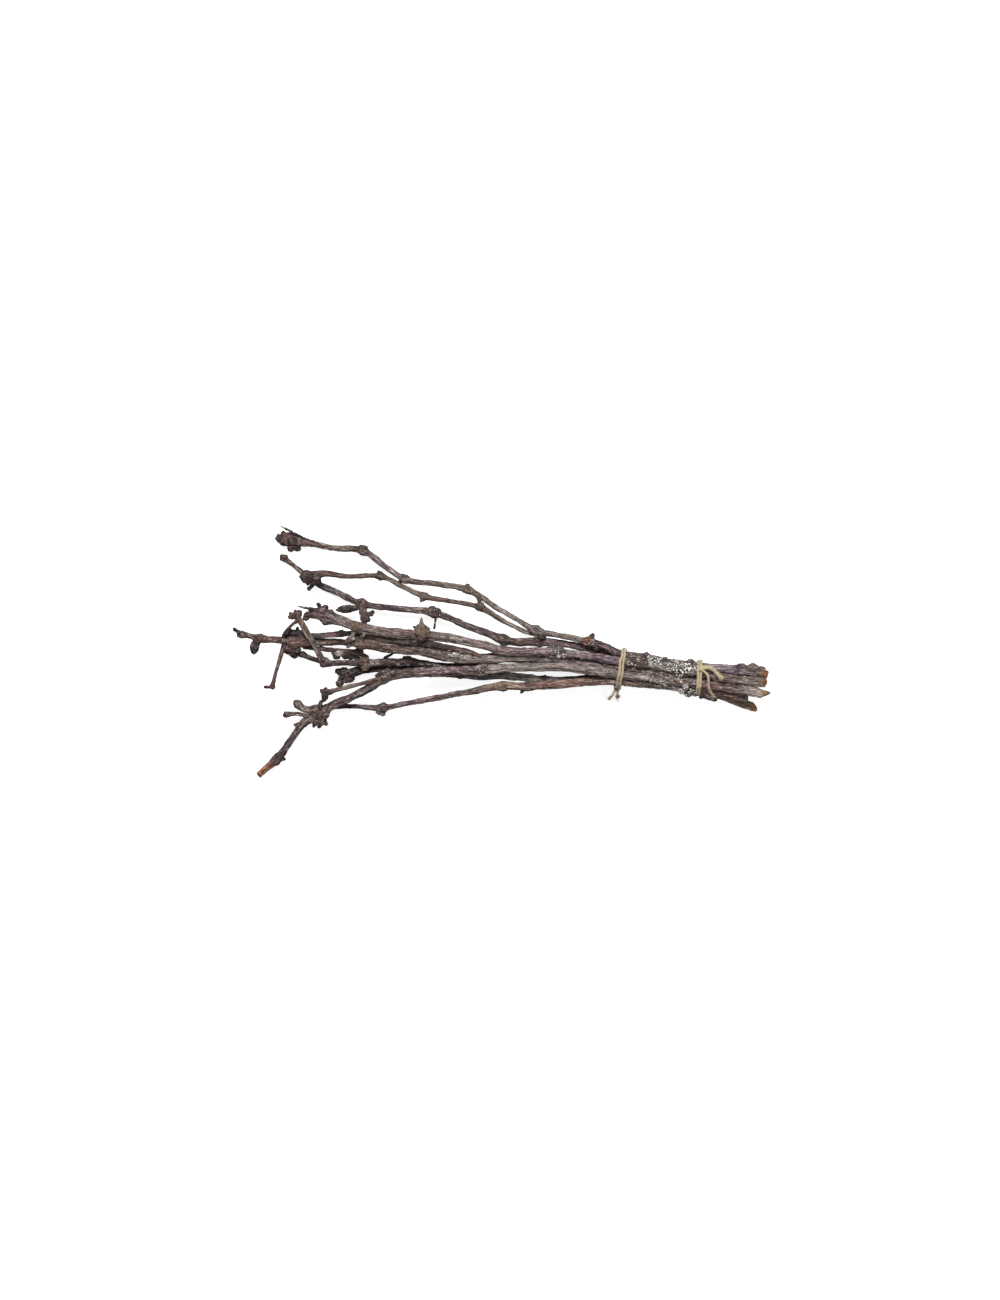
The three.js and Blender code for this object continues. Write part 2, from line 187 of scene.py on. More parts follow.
# Each stick has its seat, the cut end's offset from it, and the radii at the cut end and at the two
# ties. `spread` is points between those. `route` goes on from the front tie as (x, y, z, radius,
# knot), and `barks` is the bark's colour at each x. Cuts are a place, the way they face and how
# bare their wood is. Lumps are (x, y, z, radius, colour), pegs run from a root to a tip with two
# radii, buds are scaly and pointed, thorns are thin, and pits are (x, y, z, radius).
TWIGS = {}
TWIGS["long_upper_twig"] = stick(
    seat=(2, 2),
    end=(0.8, -0.1, 0),
    radii=(2.8, 2.1, 1.9),
    cuts=[((129.8, -8.9, 11), (0.52, 0.83, 0.2), 0), ((131.6, -12, 11.4), (0.8, 0.1, 0.6), 1)],
    route=[
        (52.5, 1.8, 12.4, 1.7), (44.5, 4.2, 12, 1.6, 1), (30, 7.1, 11.2, 1.25),
        (18, 9.7, 10.4, 1.6, 0.8), (9, 15.1, 9.9, 1.2), (0, 20.1, 9.4, 1.3),
        (-16, 30, 8.6, 1.5, 0.7), (-32, 33, 7.8, 1.35), (-47.5, 35.4, 7.2, 1.45, 0.8),
        (-58, 42.2, 6.6, 1.5), (-68.2, 49.6, 6.2, 1.5, 0.9), (-82, 50.8, 5.4, 1.4),
        (-93.4, 53, 4.5, 1.6), (-98.4, 54, 4.1, 2.2), (-103, 54.6, 3.8, 2.6),
        (-106.5, 55.6, 3.6, 2.4),
    ],
    barks=[
        (131, DRAB), (124, GREY), (118, LILAC), (108, LILAC), (100, MAUVE), (92, GREY), (76, SLATE),
        (71, UMBER), (60, SOOT), (52, PLUM), (46, UMBER), (40, GREY), (5, GREY), (-20, OLIVE),
        (-42, OLIVE), (-60, MAUVE), (-70, DRAB), (-80, OLIVE), (-92, UMBER), (-106, MAROON),
    ],
    lumps=[
        (-106.4, 56.4, 4.6, 2.3, MAROON), (-103.2, 56.2, 4.8, 1.9, MAROON),
        (-108.4, 58.2, 4.4, 1.2, DUSK), (-107.9, 54, 3.4, 2.2, MAROON),
        (-103.8, 54.4, 5.4, 2.2, DUSK), (-104.3, 51.2, 3.6, 2, MAROON),
        (-101.5, 50.8, 3, 1.5, COAL), (-102.6, 53.4, 2.6, 2.3, UMBER),
        (-107.6, 55.4, 2.4, 2.2, UMBER), (46.8, 3, 13.6, 1.2, GREY), (43.4, 4.6, 13, 1.7, RUST),
        (42.2, 3.4, 13.2, 1.1, RUST), (20.6, 6.4, 10.4, 1.7, SOOT), (18, 10.8, 11.2, 1.4, ASH),
        (15.4, 9.4, 11.6, 1.3, MAUVE), (17.4, 8, 11.2, 1.3, TAN), (20.4, 7.8, 11.4, 1.1, RUSSET),
        (20.6, 9.4, 11.6, 1.1, ASH), (-68.2, 51, 6.8, 1.1, MAUVE), (72.6, -2.2, 12.8, 1.4, SLATE),
        (120.5, -8.6, 11.4, 1.7, MAUVE), (118.6, -8.2, 12, 1.3, SLATE),
        (126.4, -8.8, 11.8, 2.5, DRAB), (123.6, -9, 12.6, 1.4, DRAB), (94.6, -6.4, 11.4, 1.7, ASH),
        (88, -5.6, 12.6, 1, CHALK), (74, -3.3, 13.3, 1, CHALK), (78.8, -5.3, 13.4, 0.7, CHALK),
        (94.5, -7, 12.8, 0.7, CHALK), (82, -4.4, 11.8, 0.9, GREY),
    ],
    pegs=[
        ((44.6, 4.6, 12.4), (46.6, 8.2, 13.6), 1.2, 1.5, UMBER),
        ((47.4, 3, 12), (48, -0.8, 12.6), 1.4, 1.2, SOOT),
        ((-109.2, 56.4, 4), (-111.6, 57.7, 4.4), 1, 0.9, DUSK),
        ((-109.4, 55.6, 4), (-112.3, 55.8, 4), 1.1, 1, SOOT),
        ((-109.2, 55, 3.4), (-111.2, 54.2, 3), 0.9, 0.8, SOOT),
        ((-104.4, 51.4, 3.4), (-104.6, 49.3, 3), 1.1, 0.9, SOOT),
        ((-101.8, 51, 3), (-100.8, 49.4, 2.8), 0.9, 0.7, SOOT),
        ((-10.4, 26.2, 9), (-10.2, 22.4, 9.4), 1.1, 0.9, MAROON),
        ((-69.2, 50.6, 6.6), (-70, 52.4, 7.4), 1.1, 0.9, UMBER),
    ],
    buds=[
        ((-16, 30.6, 8.8), (-16.6, 32.9, 9.8), 1.15, GREY),
        ((-47.4, 35, 7.4), (-50.8, 33.6, 7.8), 1.15, MAROON),
    ],
    thorns=[((-97.6, 55.7, 5.4), (-108.8, 61.6, 8.6), 0.5, DUSK)],
    pits=[(-106.2, 59.6, 6.2, 0.9), (-105.6, 54.6, 6.9, 0.8), (-103.4, 50.4, 5.2, 0.8)],
)
TWIGS["crossing_twig"] = stick(
    seat=(0, 2),
    end=(2, 0.4, 0),
    radii=(2.3, 2, 1.9),
    route=[
        (44, 0.7, 6.2, 1.8), (33, 2.9, 6.8, 1.8), (20, 4.2, 7.6, 2.1, 0.6), (9, 3.9, 7.8, 2),
        (1.5, 5.2, 8, 2.1, 0.8), (-7, 8.7, 8, 1.75), (-15, 11.5, 7.8, 1.7),
        (-33, 18.6, 7.4, 1.6, 0.9), (-50, 20.4, 6.6, 1.5), (-69, 23.2, 5.6, 1.5, 0.9),
        (-80, 28, 4.4, 1.5), (-90, 32.6, 3.2, 1.45), (-97, 37.4, 2.7, 1.2), (-103.5, 42.6, 3, 1.15),
        (-107.4, 45.4, 3.6, 1.3),
    ],
    barks=[
        (131, GREY), (60, PLUM), (30, PLUM), (5, UMBER), (-15, FIG), (-33, UMBER), (-60, FIG),
        (-72, UMBER), (-88, SLATE), (-100, UMBER), (-108, UMBER),
    ],
    lumps=[
        (-108.3, 45.6, 3.8, 1.4, MAROON), (-108.9, 46.6, 4, 1.1, DUSK),
        (-107, 46.6, 4.4, 0.9, UMBER), (-69.2, 24.8, 6.2, 1.1, DRAB), (-70.4, 22.6, 7, 1.4, UMBER),
        (-67.4, 22, 7.2, 1.5, UMBER), (-33.8, 20.4, 8.2, 1.4, UMBER),
        (-31.4, 19.6, 8.4, 1.3, UMBER), (-32.4, 17.4, 8.4, 1.2, MAROON), (2.6, 5.6, 9, 1.2, UMBER),
    ],
    pegs=[
        ((2, 4.2, 8.6), (1, 0.4, 10.4), 1.6, 1.2, SOOT),
        ((-68.8, 23, 6.4), (-67.4, 13.2, 11), 1.6, 1.3, MAROON),
        ((-67.6, 18.6, 9.4), (-63.2, 18, 10.2), 1.1, 1.1, MAROON),
        ((-64.4, 18, 10), (-62.6, 19.6, 10.6), 0.8, 0.7, SOOT),
        ((-67.2, 16.6, 10.4), (-64.8, 14.4, 11.4), 1.2, 1, SOOT),
        ((-67.8, 19.6, 9), (-69.9, 17.9, 9.6), 1, 0.8, UMBER),
        ((-108, 45.4, 3.8), (-109.8, 45, 3.8), 0.9, 0.8, SOOT),
        ((-33.6, 19.8, 8), (-34.4, 21.7, 8.6), 0.9, 0.8, SOOT),
    ],
    buds=[((-71.6, 20.9, 7.6), (-81.8, 20, 8.6), 2.1, SOOT)],
    thorns=[((-32, 16.8, 8), (-32.8, 10.6, 9.4), 0.5, SOOT)],
    pits=[(-66.4, 19.6, 11.2, 0.8), (-33, 19, 10.2, 0.7), (-64.2, 18.4, 11.4, 0.5)],
)
TWIGS["star_bud_twig"] = stick(
    seat=(3, 1),
    end=(0.8, -1.9, 0),
    radii=(2.45, 2, 2),
    spread=[(120, -15.2, 14.2, 2.2), (112, -14, 14.3, 2.1)],
    cuts=[((130.6, -16, 15.4), (0.8, -0.1, 0.6), 1)],
    route=[
        (49, -3.8, 16.8, 1.8), (35, -1.7, 17.2, 1.9), (26, -0.9, 17.5, 1.9, 1.1),
        (12, -0.8, 17.8, 2), (1, -0.3, 18.2, 2.1), (-7, 1.9, 18.5, 2), (-15, 3.8, 19, 2),
        (-25, 5.9, 19.6, 2.1), (-38.5, 7.4, 20.4, 2.1, 0.4), (-55, 8.6, 21.4, 2.4),
        (-70.5, 11.4, 22.4, 2.4, 0.3), (-79, 14.6, 23, 2.6), (-86, 16.6, 23.4, 3.4),
        (-91, 17.4, 23.6, 2.1), (-95.8, 17.6, 23.6, 1.4),
    ],
    barks=[
        (131, OLIVE), (118, DRAB), (100, UMBER), (94, OLIVE), (84, ASH), (74, SOOT), (62, UMBER),
        (54, LILAC), (46, PLUM), (30, MAUVE), (10, PLUM), (-20, GREY), (-40, UMBER), (-60, GREY),
        (-80, GREY), (-87, PLUM), (-96, UMBER),
    ],
    lumps=[
        (-88.4, 18.6, 24.6, 2.5, PLUM), (-86.2, 15, 23.4, 2.8, PLUM),
        (-86.6, 21, 24.6, 1.4, MAROON), (-83.8, 19, 24.4, 1.3, DRAB),
        (-96.4, 16, 23.2, 1.3, MAROON), (-94.6, 17.6, 23.4, 1.5, UMBER), (-71.6, 12, 24, 2.2, TAN),
        (-73, 5.6, 21.4, 0.9, CHALK), (-67.4, 7.9, 22.6, 0.75, CHALK), (29.6, 0.8, 18.8, 1.5, DRAB),
        (26.8, -1.8, 19.2, 1.1, OLIVE), (31.4, -1.6, 18.8, 1, GREY), (29, -3, 18.4, 0.9, CHALK),
        (31.6, -3.4, 18, 0.7, CHALK), (90, -9, 16.4, 0.9, CHALK), (80, -7.2, 16.8, 0.8, CHALK),
        (74.8, -7.2, 17, 0.7, CHALK), (68.5, -5, 16.2, 0.55, CHALK), (96.5, -9.6, 16, 0.7, CHALK),
        (91.4, -11.8, 16, 1.5, RUSSET), (88.2, -12.4, 15.6, 1.4, TAN),
    ],
    pegs=[
        ((-88.6, 20.4, 24.2), (-90.2, 23.1, 25.4), 1.1, 1.2, COAL),
        ((-86.2, 20.6, 24.2), (-85.8, 22.3, 25), 1, 0.8, UMBER),
        ((-72.4, 8.6, 21.6), (-74.8, 4, 21), 1, 0.6, GREY),
        ((-96.2, 16.8, 23.4), (-97, 15.2, 22.8), 1, 0.8, SOOT),
    ],
    thorns=[((-89, 19.2, 23.8), (-101, 21.9, 25), 1.4, SOOT)],
    pits=[(-88.4, 21.4, 26, 0.9), (-96.4, 18.6, 24.6, 0.7), (-84.8, 20.6, 26, 0.7)],
)
TWIGS["pale_spotted_twig"] = stick(
    seat=(2, 0),
    end=(-5, 0, 0),
    radii=(2.1, 1.9, 2),
    route=[
        (46, -7.6, 13.2, 2.2), (30, -5, 13.5, 2.3), (18.5, -3.6, 13.8, 2.3, 0.3),
        (0, -3.9, 14, 2.5), (-14, -4.2, 14.4, 2.6), (-25, -3.2, 15, 2.8), (-38, -0.4, 15.8, 2.8),
        (-53, 0.8, 16.8, 2.6), (-62.5, 2.6, 17.4, 2.5), (-69, 3.8, 17.8, 2.6, 0.8),
        (-74.4, 4.8, 17.8, 2),
    ],
    barks=[
        (131, UMBER), (90, GREY), (70, UMBER), (40, MAUVE), (15, GREY), (-18, GREY), (-30, DRAB),
        (-50, UMBER), (-64, UMBER), (-70, TAN), (-76, DRAB),
    ],
    lumps=[
        (-69.4, 5, 19.6, 1.6, UMBER), (-72.4, 6.2, 19, 1.2, TAN), (-66.6, 2.2, 19, 1.3, UMBER),
        (-22, -2.4, 17, 1.1, CHALK), (-15.7, -2.4, 16.2, 0.9, CHALK),
        (75.5, -10.3, 13.5, 0.7, CHALK), (66.5, -8.9, 13.7, 0.6, CHALK), (36, -5, 15, 1.1, GREY),
        (52, -7, 15, 1, UMBER),
    ],
    pegs=[((-71.6, 4, 18), (-75.8, 1.6, 17.8), 1.2, 0.8, GREY)],
    pits=[(-67.6, 4.8, 20.8, 0.8)],
)
TWIGS["lower_branch"] = stick(
    seat=(3, -1),
    end=(2.7, -1, 0),
    radii=(2.6, 2, 2),
    cuts=[
        ((129.6, -19.6, 14), (0.34, 0.93, 0.1), 0), ((130.6, -23, 14), (0.4, -0.9, 0.1), 0),
        ((132.4, -21.6, 14.6), (0.6, 0, 0.8), 0.6),
        ((-120.6, -62.5, 1.6), (-0.7, -0.62, 0.35), 0.5),
    ],
    route=[
        (46, -10.4, 16.9, 2.1), (30, -8.5, 17, 2.1), (18, -8.5, 16.8, 2.1), (2, -8.9, 16, 2.1),
        (-9, -9.9, 15.4, 2.2, 0.6), (-30, -10.8, 14.6, 2.3), (-47, -11.8, 13.4, 2.3),
        (-57.5, -14.2, 12.4, 2.3, 0.5), (-65, -18.8, 10.8, 2.1), (-74, -23.5, 9.2, 1.9),
        (-84, -27.8, 7.2, 2), (-90.8, -32.2, 5.4, 3), (-97, -35.6, 4.8, 2.2),
        (-102.4, -42, 3.8, 1.7), (-107.6, -49.6, 2.9, 1.7), (-110.6, -53.4, 2.5, 2.3),
        (-115.2, -57.8, 2, 1.7), (-121.4, -63.2, 1.6, 1.5),
    ],
    barks=[
        (131, HUSK), (125, ASH), (117, UMBER), (106, MAROON), (98, UMBER), (90, OLIVE), (70, DRAB),
        (50, GREY), (30, GREY), (-4, ASH), (-16, PLUM), (-30, PLUM), (-48, DRAB), (-58, DRAB),
        (-66, FIG), (-80, FIG), (-90, UMBER), (-97, DRAB), (-102, FIG), (-110.5, SOOT),
        (-111.6, UMBER), (-113, RUST), (-120, RUST),
    ],
    lumps=[
        (-93.4, -29.6, 6, 1.9, UMBER), (-88, -32, 6.2, 2.3, UMBER), (-90.6, -35.6, 5.2, 2.4, DRAB),
        (-93.6, -34.6, 5.8, 2.1, GREY), (-90.4, -29, 6.4, 1.9, PLUM),
        (-91.4, -32.4, 7.4, 2.2, UMBER), (-89.4, -35, 3.6, 2.1, UMBER),
        (-108.6, -54.2, 2.8, 1.2, SOOT), (-112, -55.6, 3.2, 1.9, DRAB),
        (-55.8, -10.6, 13.8, 1.5, DRAB), (-51.2, -10.6, 14, 1.3, SLATE),
        (-53.4, -12, 15, 1.3, DRAB), (-58.6, -11.4, 13.4, 1.2, DRAB), (-9.6, -11.6, 16.4, 1.4, TAN),
        (-7.4, -8.6, 17, 1.1, GREY), (-11, -8.8, 17, 0.9, CHALK), (92, -18.4, 15.8, 1.1, CHALK),
    ],
    pegs=[
        ((-92, -29.6, 7.2), (-103, -26, 9.2), 1.7, 2.2, OLIVE),
        ((-95, -33.4, 6.2), (-107.8, -32, 7.8), 0.9, 1.45, UMBER),
        ((-98.4, -36.8, 4.8), (-103, -37.4, 4.2), 1.1, 0.9, UMBER),
        ((-92.4, -36.6, 4.8), (-93.1, -38.9, 4.4), 0.9, 0.75, SOOT),
        ((-90.2, -36.8, 4.4), (-90.3, -39.2, 4), 0.9, 0.75, SOOT),
        ((-88, -35.6, 4.8), (-86.2, -37.5, 4.4), 0.8, 0.75, SOOT),
        ((-90.2, -29.4, 7.4), (-89, -25.4, 9.4), 1.2, 0.8, SOOT),
        ((-59, -12, 13), (-62.2, -13.4, 12.4), 1.1, 0.7, SOOT),
        ((69.2, -13.4, 17.2), (76, -15.2, 17.8), 0.7, 0.8, CHALK),
        ((75, -15, 17.8), (83.4, -18.2, 16), 0.8, 0.6, CHALK),
    ],
    pits=[
        (-93.9, -28.8, 8.2, 0.9), (-88.6, -33.4, 8.8, 0.8), (-90.8, -37, 7.4, 0.8),
        (-103.6, -26, 10.6, 0.7),
    ],
)
TWIGS["lowest_twig"] = stick(
    seat=(2, -2),
    end=(-7, 0, 0),
    radii=(1.9, 2, 2.1),
    route=[
        (46, -15.4, 12, 2.1), (30, -17, 11, 2), (14, -18, 10.2, 1.9, 0.5), (1, -18, 9.4, 1.9, 0.6),
        (-14, -20.4, 8.4, 1.55), (-30, -23.6, 7.4, 1.45), (-45, -26.4, 6.2, 1.35),
        (-58.5, -28.7, 5.2, 1.3, 0.9), (-72, -28.2, 3.6, 1.2), (-85, -28.2, 1.9, 1.2),
    ],
    barks=[
        (131, SLATE), (122, SLATE), (116, RUSSET), (104, RUSSET), (90, ASH), (68, UMBER),
        (50, RUSSET), (28, RUSSET), (15, UMBER), (8, TAN), (-4, TAN), (-10, UMBER), (-20, UMBER),
        (-40, PLUM), (-56, PLUM), (-62, FIG), (-85, FIG),
    ],
    lumps=[
        (-58, -27.4, 5.8, 1.1, GREY), (-60.6, -30.2, 5.6, 1.2, TAN), (-57.6, -30, 5.6, 1.1, UMBER),
        (1.8, -19.2, 9.8, 1.3, UMBER), (13.4, -16.8, 11, 1.2, MAROON),
        (93.6, -21.4, 11.2, 1.7, ASH), (90.4, -20.6, 12.2, 1.2, CHALK), (97, -21.6, 11.6, 1.2, ASH),
        (101, -21.8, 10.6, 1.5, SOOT),
    ],
    pegs=[
        ((-59.2, -29.4, 5.4), (-61, -32, 5.2), 1.2, 1, UMBER),
        ((-58.8, -29.6, 5), (-58.6, -32.8, 4.8), 1.1, 0.95, DRAB),
        ((101, -22.2, 10.4), (108, -24.8, 9.8), 1.8, 1.2, SOOT),
    ],
    thorns=[((12.6, -19, 10.2), (10.2, -21.6, 10.4), 0.7, SOOT)],
    pits=[(-59.6, -29.6, 7.3, 0.7)],
)
TWIGS["slate_twig"] = stick(
    seat=(1, -1),
    end=(-11, 0, 0),
    radii=(1.9, 1.8, 1.8),
    route=[
        (46, -13.7, 7.8, 1.75), (33, -15.2, 7.2, 1.7), (21, -15, 6.9, 1.7, 0.4),
        (7, -13.2, 6.9, 1.7), (-10, -13.2, 7, 1.6), (-22, -12.4, 7.6, 1.4), (-36, -12, 8.2, 1.2),
    ],
    # From x 34 to 0 the bark is ash and chalk, paler than the twig's own slate: painted light that
    # lifts this stretch in the lower branch's shadow.
    barks=[(131, UMBER), (60, UMBER), (34, ASH), (14, CHALK), (0, ASH), (-10, SLATE), (-36, SOOT)],
    lumps=[(21.6, -13.8, 7.6, 1.3, SLATE), (-20, -13.2, 7.8, 1.1, COAL)],
    pegs=[((-35, -12, 8.2), (-38.6, -11.8, 8.6), 1.2, 0.9, SOOT)],
)
TWIGS["clustered_twig"] = stick(
    seat=(0, -2),
    end=(-3.7, -4.6, 0),
    radii=(2.1, 1.9, 1.9),
    cuts=[((126.6, -28, 3), (0.8, 0.3, 0.5), 1), ((127, -27, 3), (0.5, 0.86, 0.2), 0)],
    route=[
        (44, -15.4, 3.9, 1.8), (28, -15.2, 3.3, 1.75), (8, -13.2, 3.2, 1.7), (-12, -10.4, 3.6, 1.7),
        (-30, -9, 4.4, 1.6, 0.6), (-54, -9.6, 5.2, 1.6), (-66, -9.6, 5.4, 1.6),
        (-72, -10.8, 5.4, 2.2), (-77, -13.2, 5.2, 2.4), (-80, -16.4, 4.8, 1.5),
    ],
    barks=[
        # The drab at x 10, paler than the bark on either side, is painted light where the sticks
        # above shade this one.
        (131, HUSK), (120, TAN), (110, TAN), (98, UMBER), (60, UMBER), (10, DRAB), (-30, COAL),
        (-60, UMBER), (-72, COAL), (-81, COAL),
    ],
    lumps=[
        (-74, -11.2, 6.8, 2.2, COAL), (-78, -10.6, 6, 2, SOOT), (-80.2, -11, 5.2, 1.5, COAL),
        (-76, -14.4, 5, 2.2, UMBER), (-74.6, -13.8, 4, 1.7, COAL), (-80.3, -16.8, 5.4, 1.5, COAL),
        (-30, -10.2, 5.4, 1.2, SOOT),
    ],
    pegs=[
        ((-79, -11, 5.6), (-82, -10.2, 5.8), 1, 0.9, SOOT),
        ((-79.6, -15.8, 5), (-80.8, -18.3, 4.6), 1.2, 1.1, SOOT),
        ((-74, -13.2, 5), (-73.2, -15.2, 4.8), 1, 0.8, SOOT),
        ((-72.4, -11, 6.6), (-71, -9, 8), 1, 0.8, UMBER),
    ],
    pits=[(-77, -12.4, 8, 0.9), (-78.6, -14.8, 6.8, 0.7)],
)
TWIGS["leftmost_twig"] = stick(
    seat=(0, 0),
    end=(-2, 0, 0),
    radii=(2.3, 2.1, 2.1),
    route=[
        (44, -7.4, 5.3, 2), (30, -5.4, 5.5, 1.9), (0, -4, 7.6, 1.7, 0.5), (-30, -2, 9.2, 1.6),
        (-55, 0.8, 11, 1.6, 0.5), (-76, 3.6, 12.4, 1.5), (-90, 4, 13.4, 1.8), (-98, 4.2, 13.9, 2.6),
        (-104.5, 4.8, 14, 2.4), (-109, 4.9, 13.8, 1.6), (-114, 5.2, 13.6, 1.5),
        (-119.4, 5.9, 13.6, 1.5, 0.5), (-124.7, 7.1, 13.8, 1.1), (-128.8, 7.9, 14, 1.7),
        (-130.3, 9.1, 14.2, 0.7), (-131.7, 10.2, 14.4, 0.6),
    ],
    barks=[
        (131, UMBER), (60, UMBER), (0, UMBER), (-60, FIG), (-90, UMBER), (-95, RUSSET),
        (-99, RUSSET), (-103, SOOT), (-110, MAROON), (-118, MAROON), (-124, UMBER), (-129, DRAB),
        (-131.6, COAL),
    ],
    lumps=[
        (-129, 7.6, 14.2, 1.8, DRAB), (-119, 7, 14, 1.2, TAN), (-120.4, 4.4, 13.6, 1.3, MAROON),
        (-117.4, 4.4, 13.6, 1.2, UMBER), (-131.8, 10.3, 14.4, 0.75, COAL),
        (-117.4, 6, 14.8, 1.1, TAN), (-120.6, 4.2, 14.2, 1.6, MAROON),
        (-106.2, 7.4, 14.2, 1.5, SOOT), (-103.4, 8.6, 14.8, 1.6, SOOT),
        (-100.8, 8.6, 15, 1.6, SLATE), (-98.4, 7.4, 14.8, 1.3, UMBER),
        (-103, 3.6, 14.6, 2.6, RUSSET), (-99.4, 3.8, 14.8, 2.5, RUSSET),
        (-95.6, 4.2, 14.6, 2.2, RUSSET), (-105.4, 0.6, 12.8, 2.1, MAROON),
        (-101.6, 0.4, 12.8, 2, UMBER), (-104, -1.6, 12, 1.4, SOOT),
    ],
    pegs=[
        ((-105.4, 7, 14.4), (-108.3, 7.6, 14.8), 1, 0.6, SOOT),
        ((-101, 8.8, 15), (-100.3, 11.6, 15.8), 1.2, 0.7, SOOT),
        ((-103.4, 8.6, 15), (-104.6, 10.8, 15.6), 1.1, 0.8, SOOT),
        ((-99.4, 8, 15), (-98, 9.8, 15.6), 1, 0.8, SLATE),
    ],
    buds=[((-121.2, 5.4, 13.4), (-122.7, -2.1, 11.6), 2.3, DUSK)],
    pits=[(-129.6, 7.8, 16, 0.8), (-102.2, 9.4, 16.6, 0.9), (-97.2, 5.6, 16.8, 0.8)],
)
TWIGS["elbow_twig"] = stick(
    seat=(1, 1),
    end=(-9, 0, 0),
    radii=(1.9, 1.8, 1.9),
    route=[
        (46, -5.8, 9.2, 1.85), (30, -8, 9.1, 1.8), (0, -8.5, 9.6, 1.7), (-30, -8, 9.9, 1.7),
        (-45.8, -5.8, 10, 1.7, 0.7), (-56, -6.2, 10, 1.7, 0.3), (-67, -6.6, 10, 1.8, 1.2),
        (-77.5, -6.4, 10.4, 1.4), (-87.6, -6, 12, 1.5, 0.7), (-90.2, -1.4, 15.6, 1.25),
        (-93, 3.6, 18.4, 1.4), (-96, 9, 19.9, 1.5), (-98.6, 13.6, 20.6, 1.4), (-101, 17, 20.8, 1.6),
    ],
    barks=[
        (131, UMBER), (60, UMBER), (0, FIG), (-40, COAL), (-50, PLUM), (-58, DRAB), (-64, ASH),
        (-67, TAN), (-71, UMBER), (-78, COAL), (-84, FIG), (-88, MAROON), (-91, GREY), (-94, OLIVE),
        (-98, TAN), (-101, UMBER),
    ],
    lumps=[
        (-101, 17.4, 21, 1.9, UMBER), (-99.8, 18.2, 20.8, 1.3, GREY),
        (-102.6, 16.6, 20.8, 1.4, UMBER), (-67.6, -5, 11.4, 1.9, TAN),
        (-67.4, -8.6, 10.8, 1.8, TAN), (-69.2, -6.8, 11.8, 1.5, UMBER),
        (-57.4, -5.4, 11, 1.3, GREY), (-46, -4.6, 11.2, 1.4, SOOT), (-88.2, -7.2, 12.4, 1.4, PLUM),
        (-86.4, -5.2, 12.6, 1.2, ASH), (-51, -7.4, 11, 1.1, PLUM),
    ],
    pegs=[
        ((-45.6, -5, 10.6), (-48, -3.8, 11.6), 1.5, 1.2, SOOT),
        ((-44, -5.4, 10.8), (-42.2, -4.4, 11.4), 1.3, 0.9, SOOT),
        ((-100.4, 14.4, 20.4), (-107.4, 7.6, 18.2), 0.9, 0.75, SOOT),
        ((-102.6, 16.4, 20.8), (-105.2, 15.8, 20.8), 0.9, 1, SOOT),
        ((-102.4, 17.4, 20.8), (-104.8, 18.2, 21), 0.9, 1, UMBER),
        ((-101.4, 18, 21), (-101.8, 20, 21.2), 0.9, 0.8, UMBER),
        ((-99.6, 18, 20.8), (-98.7, 19.1, 21), 0.9, 0.7, UMBER),
    ],
    thorns=[((-57, -3.8, 11), (-50.8, -0.3, 12.8), 0.85, COAL)],
    pits=[(-101.6, 17.6, 23, 0.8), (-68.2, -6.4, 13.6, 0.8), (-88, -6, 14.3, 0.6)],
)

# Branches that leave a stick at a main fork.
FORKS = {}
FORKS["long_upper_fork"] = stick(
    route=[
        (18.4, 8, 9.6, 1.5), (13.4, 8.8, 9, 1.25), (6, 12.3, 8.6, 1.15), (0, 15.5, 8.6, 1.25),
        (-10, 21.2, 9.2, 1.4, 0.7), (-24, 24.2, 10, 1.2), (-37.6, 26.6, 10.4, 1.3, 0.8),
        (-48, 31.4, 10.4, 1.15), (-59.4, 36.6, 10.4, 1.3, 0.8), (-76, 36.8, 9.8, 1.25),
        (-88, 38, 9.4, 1.6), (-93.4, 36.8, 9.4, 2.8), (-97, 36.6, 9.6, 2.2),
    ],
    barks=[
        (18, GREY), (0, DRAB), (-30, UMBER), (-38, OLIVE), (-54, DRAB), (-62, DRAB), (-78, UMBER),
        (-88, MAROON), (-97, UMBER),
    ],
    lumps=[
        (-96.6, 37.8, 9.8, 2.1, UMBER), (-97.2, 35, 9.2, 1.9, MAROON), (-94, 34.4, 9.2, 2.3, DRAB),
        (-92, 36.6, 10.4, 2.3, UMBER), (-91.2, 34.6, 9, 1.7, MAROON), (-94.6, 36, 11.4, 1.9, DUSK),
        (-94.8, 36, 7.6, 2, SOOT), (-59.6, 38, 11, 1.1, OLIVE), (-38.4, 25.8, 10.8, 1.2, OLIVE),
        (-9.6, 22.8, 9.8, 1.1, GREY),
    ],
    pegs=[
        ((-92.6, 33.4, 8.8), (-95.6, 30, 7.2), 1, 1, COAL),
        ((-95.4, 33.8, 9), (-95.8, 32.3, 8.8), 0.9, 0.8, UMBER),
        ((-98, 36.4, 9.6), (-99.9, 36.2, 9.6), 1.1, 0.9, MAROON),
        ((-59.8, 37.6, 10.8), (-60.6, 39.5, 11.4), 1, 0.85, UMBER),
        ((-90.8, 34.4, 9.2), (-89.6, 33, 8.8), 1, 0.8, MAROON),
    ],
    buds=[((-37.8, 26, 10.6), (-39.8, 24, 10.8), 1.05, TAN)],
    pits=[(-94.6, 37.2, 13.2, 0.7)],
)
FORKS["pale_spotted_fork"] = stick(
    route=[
        (-10, -3.2, 16, 1.2), (-15, -1.1, 17, 1.3), (-25, 1, 17.6, 1.4), (-38, 3.6, 18.9, 1.8, 0.2),
        (-53, 4.6, 18.7, 1.7), (-66, 7, 18.8, 1.3),
    ],
    barks=[(-10, UMBER), (-30, SOOT), (-50, SOOT), (-66, UMBER)],
    lumps=[(-38, 4, 20, 1, SOOT)],
)
